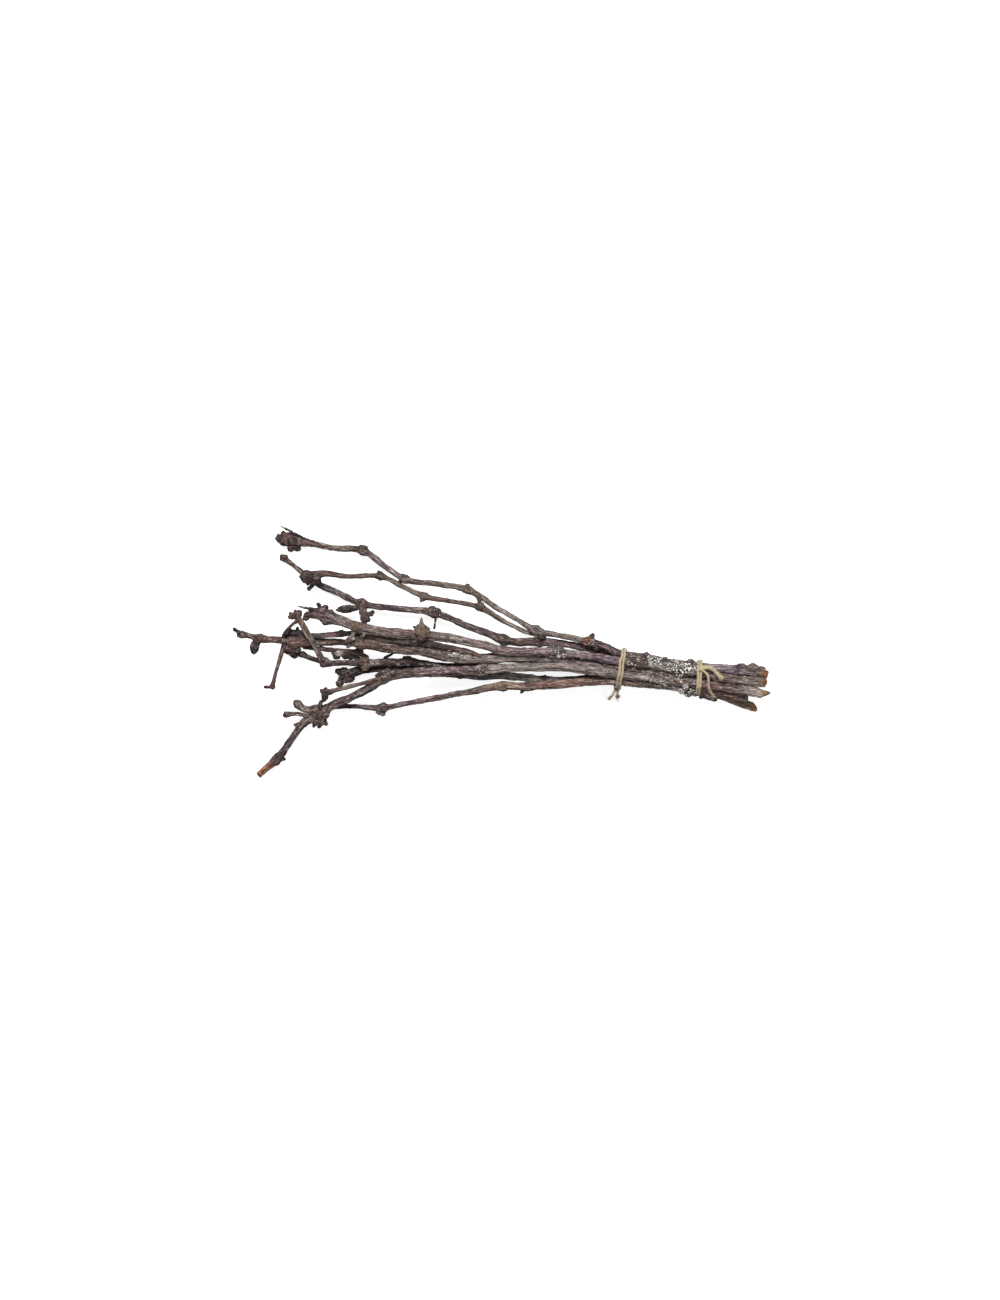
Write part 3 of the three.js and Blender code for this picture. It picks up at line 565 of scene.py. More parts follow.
FORKS["dark_tipped_fork"] = stick(
    route=[(-66, 8.6, 17.8, 1.3), (-79, 7.9, 17.8, 1.4, 0.3), (-93.4, 6.8, 16.6, 1.4)],
    barks=[(-66, UMBER), (-76, SOOT), (-84, MAROON), (-92, SLATE)],
    lumps=[(-93.2, 6.9, 17, 1.4, SLATE), (-79, 8.7, 18.6, 1, COAL)],
)
FORKS["lower_branch_fork"] = stick(
    route=[
        (-60.4, -14.4, 13.2, 1.2), (-66, -16, 13.8, 1), (-74, -18, 13, 1), (-82, -20, 12.2, 1.15),
        (-86.4, -21.2, 11.8, 1.6),
    ],
    barks=[(-60, UMBER), (-70, DRAB), (-84, OLIVE), (-88, UMBER)],
    lumps=[
        (-86.6, -21, 12, 1.7, DRAB), (-88.4, -20.6, 12, 1.1, UMBER),
        (-87.4, -23.4, 11.2, 1.5, SOOT), (-84.2, -20.8, 12.4, 1.2, OLIVE),
    ],
    pegs=[
        ((-88, -20.8, 12), (-89.4, -19.4, 12.2), 0.9, 0.7, UMBER),
        ((-86.6, -20.2, 12.2), (-86.4, -18.4, 12.6), 1, 0.8, DRAB),
        ((-87.2, -22.6, 11.4), (-88.2, -26, 10.6), 1.4, 1.1, SOOT),
    ],
    pits=[(-86.8, -20.8, 14, 0.7)],
)
FORKS["elbow_side_fork"] = stick(
    route=[
        (-88.8, -5.8, 11.4, 1.4), (-93, -4.6, 10.4, 1.3), (-98, -2.6, 9.9, 1.4),
        (-103.4, -1.4, 9.4, 1.6), (-107.2, -0.6, 9.4, 1.1),
    ],
    barks=[(-88, MAROON), (-93, SOOT), (-108, SOOT)],
    lumps=[
        (-102.6, -2.6, 9.6, 1.6, SOOT), (-105.4, -0.6, 9.8, 1.4, DRAB),
        (-98.2, -1.8, 10.4, 1.2, SOOT),
    ],
)
FORKS["elbow_thin_fork"] = stick(
    route=[
        (-66.4, -3.4, 11.4, 1.1), (-71, -1.4, 11.8, 1.4), (-78, -0.3, 11, 1.1),
        (-86, 0.2, 10.1, 1.1), (-97.4, 1.4, 9.4, 1.1),
    ],
    barks=[(-66, SOOT), (-78, MAROON), (-84, UMBER), (-98, PLUM)],
    lumps=[(-89, 0.8, 10.6, 1.1, ASH), (-70.4, -0.8, 12, 1.9, MAROON)],
)
FORKS["pale_knob_fork"] = stick(
    route=[
        (-70.4, -4.4, 9, 1), (-76, -2.6, 9.6, 1.1), (-80.2, -2, 10.8, 1.4), (-83, -1.8, 10.6, 1),
    ],
    barks=[(-70, SOOT), (-77, SOOT), (-83, SOOT)],
    lumps=[
        (-80.2, -1.6, 12, 1.5, CHALK), (-77.2, -3, 10.2, 1.7, SOOT), (-81.6, -3.2, 10, 1.6, SOOT),
        (-74.4, -3.6, 9.8, 1.4, DUSK),
    ],
)
FORKS["hanging_fork"] = stick(
    route=[
        (-107.4, 3, 13.2, 1.2), (-108.6, -1.4, 12.2, 1.1), (-109.8, -5.6, 11, 1.05),
        (-111.8, -12, 9.4, 1), (-113.4, -17.6, 7.8, 1.15),
    ],
    barks=[(-107, MAROON), (-110, UMBER), (-112, DRAB), (-114, DRAB)],
    lumps=[(-113.4, -18.6, 7.6, 1.1, DRAB)],
    pegs=[((-113.6, -18.6, 7.6), (-117.4, -18.6, 7.4), 0.75, 0.6, MAROON)],
)

# Lichen: its middle, its reach along and across the bundle, and its strength.
CRUSTS = [
    ((90, -8, 18), (9, 6, 9), 0.87), ((77, -3.8, 16), (6, 4.6, 8), 0.82),
    ((72, -18.5, 13), (14, 3.5, 6), 0.4), ((54, -11.5, 14), (4, 3, 5), 0.55),
    ((91, -20.5, 14), (7, 3.5, 6), 0.7), ((82, -15, 15), (16, 5, 9), 0.4),
    ((66, -5, 16), (5, 5, 8), 0.42), ((48, -8, 16), (10, 6, 6), 0.18),
    ((28.6, -2, 18), (5, 4.4, 5), 0.6), ((-9, -10, 17), (4, 3, 4), 0.3),
    ((-21, -2.6, 17), (6, 2, 3), 0.55), ((-32, -8, 14), (6, 3, 4), 0.3),
    ((-55, -11, 14), (6, 3, 5), 0.36), ((-32, 18, 9), (3, 3, 4), 0.35),
    ((-66, -9, 12), (4, 2, 3), 0.3), ((17, 10, 11), (4, 4, 4), 0.35),
    ((46, 3, 13), (4, 3, 4), 0.35),
]


# ---- Curves ----
# The pyramid of blends that makes a smooth curve, each with the two knot times it runs between.
BLENDS = [[(0, 1), (1, 2), (2, 3)], [(0, 2), (1, 3)], [(1, 2)]]
HASHES = np.array([73856093, 19349663, 83492791])  # scatter the cells of the noise


def unit(vector):
    return vector / np.linalg.norm(vector)


def lengths_along(path):
    return np.concatenate([[0], np.cumsum(np.linalg.norm(np.diff(path, axis=0), axis=1))])


def smooth_curve(points, step):
    """A smooth curve in steps of about `step`, and where each place lies in the list of points."""
    ends = [2 * points[0] - points[1], *points, 2 * points[-1] - points[-2]]
    places, shares = [], []
    for i in range(len(points) - 1):
        four = ends[i : i + 4]
        gaps = [math.sqrt(np.linalg.norm(b - a)) for a, b in zip(four, four[1:])]
        times = np.cumsum([0, *gaps])
        count = max(1, round(gaps[1] ** 2 / step))
        for k in range(count):
            t = times[1] + (times[2] - times[1]) * k / count
            level = four
            for spans in BLENDS:
                level = [
                    a + (b - a) * (t - times[start]) / (times[stop] - times[start])
                    for a, b, (start, stop) in zip(level, level[1:], spans)
                ]
            places.append(level[0])
            shares.append(i + k / count)
    places.append(points[-1])
    shares.append(len(points) - 1)
    return np.array(places), np.array(shares)


def frames_along(path):
    """A heading, a side and an up vector at each point of a path, without needless twist."""
    headings = np.gradient(path, axis=0)
    headings /= np.linalg.norm(headings, axis=1)[:, None]
    sides = np.empty_like(headings)
    side = np.cross((0, 0, 1), headings[0])
    if np.linalg.norm(side) < 0.1:
        side = np.cross((0, 1, 0), headings[0])
    for i, heading in enumerate(headings):
        side = unit(side - heading * (side @ heading))
        sides[i] = side
    return headings, sides, np.cross(headings, sides)


def noise(points, seed):
    """Smooth noise from 0 to 1 at many points, with cells one unit wide."""
    cell = np.floor(points).astype(np.int64)
    part = points - cell
    part = part * part * (3 - 2 * part)
    total = np.zeros(len(points))
    for corner in itertools.product((0, 1), repeat=3):
        key = (cell + corner) @ HASHES + seed * 668265263
        key = ((key ^ (key >> 13)) * 1274126177) & 0x7FFFFFFF
        value = ((key ^ (key >> 15)) & 0xFFFF) / 0xFFFF
        total += value * np.prod(np.where(corner, part, 1 - part), axis=1)
    return total


# ---- Routes of the sticks ----


def seat_at(station, seat, offset=(0, 0, 0)):
    """Where a stick lies in a tie or at the cut ends."""
    row, column = seat
    y = station["y"] + column * station["column"]
    z = station["z"] + row * station["row"]
    return np.array([station["x"], y, z]) + offset


def route_of(twig):
    """A stick's full route, from its cut end to its tip."""
    if "seat" not in twig:
        return twig["route"]
    end_radius, rear_radius, front_radius = twig["radii"]
    held = [
        (*seat_at(BUTT, twig["seat"], twig["end"]), end_radius),
        *twig["spread"],
        (*seat_at(REAR_TIE, twig["seat"]), rear_radius),
        (*seat_at(FRONT_TIE, twig["seat"]), front_radius),
    ]
    return held + twig["route"]


def stem_along(route):
    """A route as a smooth curve: its points, their places in the route, and the radius at each."""
    places, shares = smooth_curve([np.array(p[:3], float) for p in route], ROD)
    return places, shares, np.interp(shares, range(len(route)), [p[3] for p in route])


# ---- Wood as rods ----
# A rod runs from a to b with a radius at each end. `melt` is how widely it blends with what is
# there already, and a pit is hollowed out instead. `along` is the length of stick before it.
Rod = namedtuple("Rod", "a ra b rb tints melt pit along root frame")


def rods_along(places, radii, tints, melt=0.0, along=0.0):
    headings, sides, ups = frames_along(places)
    rods = []
    for i in range(len(places) - 1):
        a, b = places[i], places[i + 1]
        pair = (tints[i], tints[i + 1])
        frame = np.array([unit(b - a), sides[i], ups[i]])
        rods.append(Rod(a, radii[i], b, radii[i + 1], pair, melt, False, along, a, frame))
        along += np.linalg.norm(b - a)
    return rods


def knot_swelling(distance):
    return np.exp(-KNOT_FALL * (distance / KNOT_REACH) ** 2)


def stem_rods(route, barks, wander):
    """A stem along its route, swollen at its knots and a little uneven."""
    places, shares, radii = stem_along(route)
    lengths = lengths_along(places)
    radii *= wander.uniform(*UNEVEN, len(radii))
    for i, point in enumerate(route):
        if len(point) > 4:
            at = np.interp(i, shares, lengths)
            radii += point[4] * knot_swelling(lengths - at)
    xs = [x for x, _ in barks][::-1]
    shades = np.array([shade for _, shade in barks][::-1])
    tints = np.stack([np.interp(places[:, 0], xs, shades[:, c]) for c in range(3)], axis=1)
    return rods_along(places, radii, tints)


def nearest(rods, at):
    """The rod of a stem that passes nearest to a point."""
    return min(rods, key=lambda rod: ((rod.a + rod.b) / 2 - at) @ ((rod.a + rod.b) / 2 - at))


def lump_rod(stem, x, y, z, radius, shade, melt=SOFT):
    """A round lump that carries on the grain of the stem it sits on."""
    at = np.array([x, y, z], float)
    under = nearest(stem, at)
    there = at + (0.3 * radius, 0, 0)
    shades = (shade, shade)
    return Rod(at, radius, there, radius, shades, melt, False, under.along, under.root, under.frame)


# A hollow whose walls are coloured soot: painted shade in the pit.
def pit_rod(stem, x, y, z, radius):
    return lump_rod(stem, x, y, z, radius, SOOT, PIT_SOFT)._replace(pit=True)


def peg_rods(stem, root, tip, root_radius, tip_radius, shade, wander):
    """A short, ringed side shoot with a flared foot and a blunt end, a little crooked."""
    root, tip = np.array(root, float), np.array(tip, float)
    length = np.linalg.norm(tip - root)
    count = max(3, round(length / PEG_RING))
    steps = np.linspace(0, 1, count + 1)
    places = root + (tip - root) * steps[:, None]
    bow = np.sin(math.pi * steps)
    places += bow[:, None] * (PEG_BEND * length * wander.normal(size=3))
    radii = root_radius + (tip_radius - root_radius) * steps
    radii *= 1 - PEG_WAIST * bow + PEG_RIDGE * np.cos(math.pi * np.arange(count + 1))
    radii[0] *= PEG_FOOT
    places -= (tip - root) / length * tip_radius * PEG_BLUNT * steps[:, None]
    tints = [shade] * (count + 1)
    return rods_along(places, radii, tints, SOFT * 0.7, nearest(stem, root).along)


def bud_rods(stem, root, tip, radius, shade, wander):
    """A pointed winter bud: a plump body wrapped in overlapping pointed scales."""
    root, tip = np.array(root, float), np.array(tip, float)
    body, plumpness = np.array(BUD_BODY).T
    places = root + (tip - root) * body[:, None]
    tints = [shade] * len(body)
    near = nearest(stem, root).along
    rods = rods_along(places, radius * plumpness, tints, SOFT * 0.6, near)
    heading = unit(tip - root)
    side = unit(np.cross(heading, (0.3, 0.2, 1)))
    up = np.cross(heading, side)
    length = np.linalg.norm(tip - root)
    for row, (low, high) in enumerate(BUD_SCALES):
        for k in range(SCALES_IN_ROW):
            turn = 2 * math.pi * (k + 0.5 * row) / SCALES_IN_ROW + wander.uniform(-0.2, 0.2)
            out = side * math.cos(turn) + up * math.sin(turn)
            wide = radius * (0.8 - 0.2 * row)
            base = root + heading * length * low + out * wide * 0.72
            point = root + heading * length * high + out * wide * 0.42
            scale = np.array([base, point])
            rods += rods_along(scale, [0.3 * radius, 0.1], [shade, shade], SCALE_SOFT, k)
    return rods


def thorn_rods(root, tip, radius, shade):
    """A thin shoot, arched a little, that tapers to a point."""
    places = np.linspace(root, tip, 6)
    places[2:4, 2] += 0.04 * np.linalg.norm(places[-1] - places[0])
    radii = np.linspace(radius, THORN_TIP, 6)
    return rods_along(places, radii, [shade] * 6, 0.3, root[0])


def knuckle_rods(stem, route, wander):
    """Small humps and bud scars round every knot of a stem."""
    rods = []
    for x, y, z, radius, *knot in route:
        for _ in range(KNUCKLES if knot else 0):
            turn = wander.uniform(0, 2 * math.pi)
            out = (radius + 0.35 * knot[0]) * np.array([0, math.cos(turn), math.sin(turn)])
            at = np.array([x + wander.uniform(-1.5, 1.5), y, z]) + out
            rods.append(lump_rod(stem, *at, wander.uniform(0.5, 0.8), UMBER, 0.5))
    return rods


def star_bud_rods(stem, wander):
    """The open bud on the star-bud twig: pointed scales closing over a plump heart."""
    heart = np.array(STAR_HEART)
    rods = [lump_rod(stem, *heart, 3.3, HUSK), lump_rod(stem, -39.6, 6.6, 22, 2.3, UMBER)]
    for point, width in STAR_SCALES:
        places = np.linspace(heart + wander.normal(0, 0.25, 3), point, 5)
        radii = width * np.array([1.1, 1.15, 0.95, 0.62, 0.25])
        rods += rods_along(places, radii, [UMBER, HUSK, HUSK, TAN, SOOT], 0.25, point[0])
    return rods + [pit_rod(stem, *hollow) for hollow in STAR_HOLLOWS]


def rods_of(twig, name, wander):
    """All the wood of one stick or branch, with the pits last."""
    route = route_of(twig)
    stem = stem_rods(route, twig["barks"], wander)
    rods = stem + knuckle_rods(stem, route[1:], wander)
    rods += [lump_rod(stem, *lump) for lump in twig["lumps"]]
    for peg in twig["pegs"]:
        rods += peg_rods(stem, *peg, wander)
    for bud in twig["buds"]:
        rods += bud_rods(stem, *bud, wander)
    for thorn in twig["thorns"]:
        rods += thorn_rods(*thorn)
    if name == "star_bud_twig":
        rods += star_bud_rods(stem, wander)
    return rods + [pit_rod(stem, *pit) for pit in twig["pits"]]


# ---- Carving ----


def depth_in(rod, points):
    """How far points lie outside a rod, and how far along it they are, from 0 to 1."""
    run = rod.b - rod.a
    t = np.clip((points - rod.a) @ run / (run @ run), 0, 1)
    away = np.linalg.norm(points - (rod.a + t[..., None] * run), axis=-1)
    return away - (rod.ra + t * (rod.rb - rod.ra)), t


def melted(old, new, rod):
    """The field once a rod is added or hollowed out, and the rod's share of it at each point."""
    if rod.pit:
        share = np.clip(0.5 - 0.5 * (new + old) / rod.melt, 0, 1)
        return old + (-new - old) * share + rod.melt * share * (1 - share), share
    if rod.melt == 0:
        share = (new < old).astype(float)
        return np.minimum(old, new), share
    share = np.clip(0.5 - 0.5 * (new - old) / rod.melt, 0, 1)
    return old + (new - old) * share - rod.melt * share * (1 - share), share


def reach_of(rod):
    radius = max(rod.ra, rod.rb) + SKIN
    return np.minimum(rod.a, rod.b) - radius, np.maximum(rod.a, rod.b) + radius


def over_grid(x, y, z):
    """The sum, at every point of a grid, of one value for each of its x, y and z."""
    return x[:, None, None] + y[None, :, None] + z[None, None, :]


def carve(rods, cuts):
    """The rods' common skin, as points and four-sided faces."""
    reaches = [reach_of(rod) for rod in rods]
    low = np.min([reach[0] for reach in reaches], axis=0)
    high = np.max([reach[1] for reach in reaches], axis=0)
    shape = np.ceil((high - low) / GRID).astype(int) + 1
    field = np.full(shape, SKIN, np.float32)
    axes = [low[c] + GRID * np.arange(shape[c]) for c in range(3)]
    for rod, (near, far) in zip(rods, reaches):
        first = np.floor((near - low) / GRID).astype(int)
        last = np.ceil((far - low) / GRID).astype(int) + 1
        window = tuple(slice(f, l) for f, l in zip(first, last))
        points = np.stack(np.meshgrid(*[a[w] for a, w in zip(axes, window)], indexing="ij"), -1)
        field[window] = melted(field[window], depth_in(rod, points)[0], rod)[0]
    for at, heading, _ in cuts:
        beyond = over_grid(*[(axis - at[c]) * heading[c] for c, axis in enumerate(axes)])
        apart = over_grid(*[(axis - at[c]) ** 2 for c, axis in enumerate(axes)])
        sawn = np.maximum(field, beyond)
        field = np.where(apart < CUT_REACH ** 2, sawn, field).astype(np.float32)
    grid = openvdb.FloatGrid(SKIN)
    grid.copyFromArray(field)
    points, quads = grid.convertToQuads(0)
    return points * GRID + low, quads


def survey(rods, points):
    """For each point of the skin: its bark's colour, and its place along and across the grain."""
    depth = np.full(len(points), SKIN)
    shade = np.zeros((len(points), 3))
    grain = np.zeros((len(points), 3))
    for rod in rods:
        near, far = reach_of(rod)
        here = np.flatnonzero(((points > near) & (points < far)).all(axis=1))
        new, t = depth_in(rod, points[here])
        depth[here], share = melted(depth[here], new, rod)
        share = share[:, None]
        own = rod.tints[0] + (rod.tints[1] - rod.tints[0]) * t[:, None]
        place = (points[here] - rod.root) @ rod.frame.T + (rod.along, 0, 0)
        shade[here] += (own - shade[here]) * share
        grain[here] += (place - grain[here]) * (share if rod.melt else share.round())
    return shade, grain


def knottiness(points, route, twig):
    """1 on knots, pegs and clusters, falling to 0 on the clear bark between them."""
    knots = [p[:3] for p in route if len(p) > 4]
    knots += [lump[:3] for lump in twig["lumps"] if lump[4] is not CHALK]
    knots += [tip for _, tip, *_ in twig["pegs"]]
    knots += [np.add(root, tip) / 2 for root, tip, *_ in twig["buds"] + twig["thorns"]]
    level = np.zeros(len(points))
    for at in knots:
        level = np.maximum(level, np.exp(-(((points - at) ** 2).sum(axis=1)) / KNOT_STAIN))
    return level


def crustiness(points):
    """The strength of the lichen: full in the middle of a patch, none just past its reach."""
    level = np.zeros(len(points))
    for middle, reach, strength in CRUSTS:
        away = (((points - middle) / reach) ** 2).sum(axis=1)
        level = np.maximum(level, strength * np.clip(1.3 - away, 0, 1))
    return level


def bark_relief(grain, knot, crust, age, seed):
    """How far the bark stands proud, in millimetres."""
    humps = noise(grain * (0.2, 0.4, 0.4), seed) - 0.5
    ridges = 1 - 2 * abs(noise(grain * (0.1, 0.8, 0.8), seed + 1) - 0.5)
    folds = noise(grain * (0.3, 1.2, 1.2), seed + 2) - 0.5
    wobble = 3 * noise(grain * (0.4, 0.5, 0.5), seed + 3)
    rings = np.sin(2 * math.pi * grain[:, 0] / RING_GAP + wobble) * knot
    warts = np.clip(noise(grain * (0.7, 0.8, 0.8), seed + 4) - 0.74, 0, 1) * 4
    scurf = noise(grain * (0.8, 0.95, 0.95), seed + 5) * crust
    bark = HUMPS * humps + age * (RIDGES * (ridges ** 2 - 0.4) + FOLDS * folds) + WARTS * warts
    gnarls = knot * GNARLS * (noise(grain * 0.8, seed + 6) - 0.5)
    return bark + RINGS * rings + gnarls + SCURF * scurf


def skin_normals(points, quads):
    across = points[quads[:, 2]] - points[quads[:, 0]]
    down = points[quads[:, 3]] - points[quads[:, 1]]
    faces = np.cross(across, down)
    normals = np.zeros_like(points)
    for corner in range(4):
        np.add.at(normals, quads[:, corner], faces)
    return normals / np.maximum(np.linalg.norm(normals, axis=1), 1e-9)[:, None]


def add_to_scene(name, data):
    made = bpy.data.objects.new(name, data)
    bpy.context.scene.collection.objects.link(made)
    return made


def make_mesh(name, points, faces, facts):
    """A smooth-shaded object with the facts stored on its points for its material to read."""
    mesh = bpy.data.meshes.new(name)
    mesh.from_pydata(points * MM, [], faces)
    mesh.shade_smooth()
    for fact, values in facts.items():
        if values.ndim == 1:
            mesh.attributes.new(fact, "FLOAT", "POINT").data.foreach_set("value", values)
        else:
            layer = mesh.attributes.new(fact, "FLOAT_VECTOR", "POINT")
            layer.data.foreach_set("vector", values.astype(np.float32).ravel())
    return add_to_scene(name, mesh)


def end_cuts(twig, route):
    """The cuts across a stick, each with how freshly it shows bare wood, from 0 to 1."""
    if "seat" not in twig:
        return []
    square = [(np.add(route[0][:3], (-1, 0, 0)), (0.9, 0, 0.45), 0.7)]
    cuts = twig.get("cuts", square)
    return [(np.array(at, float), unit(np.array(way)), bare) for at, way, bare in cuts]


def bare_wood(points, cuts):
    """1 on a fresh cut, falling to 0 on the bark."""
    level = np.zeros(len(points))
    for at, heading, bare in cuts:
        close = ((points - at) ** 2).sum(axis=1) < CUT_REACH ** 2
        beyond = 1 + ((points - at) @ heading) / CUT_EDGE
        level = np.maximum(level, bare * close * np.clip(beyond, 0, 1))
    return level


def grow(name, twig, seed, age):
    """One stick or branch, from its table to its finished mesh."""
    wander = np.random.default_rng(seed)
    route = route_of(twig)
    rods = rods_of(twig, name, wander)
    cuts = end_cuts(twig, route)
    points, quads = carve(rods, cuts)
    shade, grain = survey(rods, points)
    # The bark is coloured darker and redder towards the tips, at low x.
    tipward = np.interp(points[:, 0], (DARKEST_X, UNDARKENED_X), (1, 0))[:, None]
    shade *= 1 - tipward * TIPWARD_DARKENING
    grain[:, 0] += GRAIN_APART * seed
    knot = knottiness(points, route, twig)
    normals = skin_normals(points, quads)
    crust = crustiness(points) * np.clip(0.6 + 0.6 * normals[:, 2], 0, 1)
    cut = bare_wood(points, cuts)
    relief = bark_relief(grain, knot, crust, age, SEEDS_EACH * seed)
    points = points + normals * (relief * (1 - 0.7 * cut))[:, None]
    points[:, 2] = np.maximum(points[:, 2], 0)
    facts = {
        "shade": shade, "grain": grain, "relief": relief, "knot": knot, "crust": crust, "cut": cut,
    }
    return make_mesh(name + "_bark", points, quads, facts)


# ---- Twine ----
STRAND = 0.62  # half a strand's thickness
STRAND_GAP = 0.15  # between a strand's middle line and where it would press on the bark
PLIES = 3
PLY = 0.36  # a ply's radius
PLY_OUT = 0.3  # how far a ply lies from the strand's middle
LAY = 3.6  # length of one twist
TWINE_STEP = 0.24
LOOP_POINTS = 60
LOOSE = 2.4  # length of a strand's frayed end
FIBRES = 7  # at each frayed ply
FUZZ = 1.6  # loose fibres to each millimetre of strand
KNOT_SIZE = 0.95
KNOT_HEIGHT = 0.62
KNOT_LIFT = 0.7

# Each tie: its lean along the bundle, its knot's angle in degrees, its turns' shift and sway along
# the bundle, and its tails' paths and thickness.
TIES = {
    "front_twine_tie": {
        "station": FRONT_TIE,
        "lean": 0.28,
        "knot": 196,
        "turns": [(-0.3, 0.25), (0.9, -0.1)],
        "girths": [1, 1],
        "tails": [
            [(56.2, -22, 8.6), (55.4, -23.2, 6.8), (54.4, -24, 4.6), (54.8, -24.4, 2.4)],
            [(58.6, -21.6, 8), (58.4, -22.6, 6), (59.2, -23, 3.8), (58.2, -23.8, 2)],
        ],
    },
    "rear_twine_tie": {
        "station": REAR_TIE,
        "lean": 0.1,
        "knot": 52,
        "turns": [(-0.65, 0), (0.65, 0)],
        "girths": [1.7, 0.85],
        "tails": [
            [(104.6, -8.8, 20.2), (107.6, -11.6, 20.6), (109, -13.2, 20.2), (110.2, -14.6, 19.6)],
            [(102.8, -12.4, 21.4), (103.4, -15.4, 21.2), (103.6, -18.6, 20), (106, -23.4, 17)],
        ],
    },
}


def round_turn(sides):
    return 2 * math.pi * np.arange(sides) / sides


def crossing(route, x):
    """A stick's middle and radius where it crosses one x inside the bundle."""
    places, _, radii = stem_along(route)
    order = places[:, 0].argsort()
    middle = [np.interp(x, places[order, 0], places[order, c]) for c in range(3)]
    return np.array(middle), np.interp(x, places[order, 0], radii[order])


def outward(angle):
    """Straight out from the bundle, at an angle round it."""
    return np.array([0, math.cos(angle), math.sin(angle)])


def loop_point(tie, angle, held, lift=0.0):
    """A point of the twine's loop: at each angle it lies on the stick that stands out furthest."""
    x = tie["station"]["x"] + tie["lean"] * 2 * REAR_TIE["column"] * math.cos(angle)
    out = outward(angle)
    sticks = [crossing(route, x) for route in held]
    middle, radius = max(sticks, key=lambda stick: stick[0] @ out + stick[1])
    return middle + out * (radius + STRAND + STRAND_GAP + lift)


def loop_path(tie, held, shift, sway, wander):
    """One turn of twine round the sticks, from the knot and back to it."""
    knot = math.radians(tie["knot"])
    path = []
    for angle in np.linspace(knot, knot + 2 * math.pi, LOOP_POINTS + 1)[:-1]:
        slide = shift + sway * math.sin(angle - knot) + wander.normal(0, 0.05)
        path.append(loop_point(tie, angle, held) + (slide, 0, 0))
    path = np.array(path)
    for _ in range(3):
        path = 0.5 * path + 0.25 * (np.roll(path, 1, 0) + np.roll(path, -1, 0))
    return np.vstack([path, path[:1]])


def tube(path, radii, sides):
    """A round tube along a path with closed ends: its points and faces."""
    _, across, ups = frames_along(path)
    turns = round_turn(sides)[None, :, None]
    ring = np.cos(turns) * across[:, None] + np.sin(turns) * ups[:, None]
    points = (path[:, None] + ring * np.asarray(radii)[:, None, None]).reshape(-1, 3)
    faces = []
    for i in range(len(path) - 1):
        for k in range(sides):
            here, there = i * sides + k, i * sides + (k + 1) % sides
            faces.append((here, there, there + sides, here + sides))
    faces.append(tuple(range(sides))[::-1])
    faces.append(tuple(range((len(path) - 1) * sides, len(path) * sides)))
    return points, faces


class Yarn:
    """Gathers tubes into one mesh, with the twist's coordinates for the jute's finish."""

    def __init__(self, seed):
        self.points, self.faces, self.lays = [], [], []
        self.count = 0
        self.wander = np.random.default_rng(seed)

    def add(self, path, radii, sides=9):
        points, faces = tube(path, radii, sides)
        self.points.append(points)
        self.faces += [tuple(corner + self.count for corner in face) for face in faces]
        turns = np.tile(round_turn(sides), len(path))
        along = np.repeat(lengths_along(path), sides) + self.wander.uniform(0, 500)
        self.lays.append(np.stack([along, np.cos(turns), np.sin(turns)], axis=1))
        self.count += len(points)

    def strand(self, path, frayed=False, girth=1.0):
        """Plies twisted about a path. A frayed one loosens into separate fibres at its end."""
        path = smooth_curve(list(path), TWINE_STEP)[0]
        _, sides, ups = frames_along(path)
        lengths = lengths_along(path)
        loose = 0 * lengths
        if frayed:
            loose = np.clip((lengths - lengths[-1] + LOOSE) / LOOSE, 0, 1)
        phase = self.wander.uniform(0, 2 * math.pi)
        for ply in range(PLIES):
            turns = phase + 2 * math.pi * (ply / PLIES + lengths / LAY)
            out = np.cos(turns)[:, None] * sides + np.sin(turns)[:, None] * ups
            spread = PLY_OUT * girth * (1 + 1.6 * loose)
            slubs = self.wander.normal(0, 0.04, len(path))
            uneven = 1 + 0.16 * np.sin(lengths * 1.9 + ply) + slubs
            middle = path + out * spread[:, None]
            self.add(middle, PLY * girth * uneven * (1 - 0.72 * loose))
            if frayed:
                self.fray(middle[-6:])
        self.fuzz(path, round(lengths[-1] * FUZZ))

    def fray(self, tail):
        """Fibres that splay from a ply's end."""
        heading = unit(tail[-1] - tail[0])
        for _ in range(FIBRES):
            reach = self.wander.uniform(1.6, 3.6)
            bend = self.wander.normal(0, 0.45, 3)
            steps = np.linspace(0, 1, 7)[:, None]
            path = tail[0] + heading * reach * steps + bend * reach * steps**2
            path += self.wander.normal(0, 0.05, 3)
            self.add(path, np.linspace(0.11, 0.04, 7), 5)

    def fuzz(self, path, count):
        """Loose fibres that stand off a strand."""
        for _ in range(count):
            at = self.wander.integers(2, len(path) - 3)
            heading = unit(path[at + 1] - path[at])
            out = unit(np.cross(heading, self.wander.normal(size=3)))
            reach = self.wander.uniform(0.8, 2.6)
            steps = np.linspace(0, 1, 6)[:, None]
            curl = self.wander.normal(0, 0.35, 3)
            fibre = path[at] + out * STRAND * 0.7 + heading * reach * steps
            fibre = fibre + out * reach * 0.45 * steps**1.5 + curl * steps**2
            self.add(fibre, np.linspace(0.06, 0.025, 6), 4)

    def piece(self, name):
        points = np.vstack(self.points)
        points[:, 2] = np.maximum(points[:, 2], 0)
        return make_mesh(name, points, self.faces, {"lay": np.vstack(self.lays)})


def knot_path(middle, out, along):
    """Two crossed wraps, as an overhand knot pulled tight."""
    side = unit(np.cross(out, along))
    path = []
    for turn in np.linspace(0, 2 * math.pi, 25)[:-1]:
        flower = 1 + 0.42 * math.cos(3 * turn)
        place = along * math.cos(2 * turn) * flower + side * math.sin(2 * turn) * flower
        path.append(middle + KNOT_SIZE * place + out * KNOT_HEIGHT * math.sin(3 * turn))
    return np.array(path)


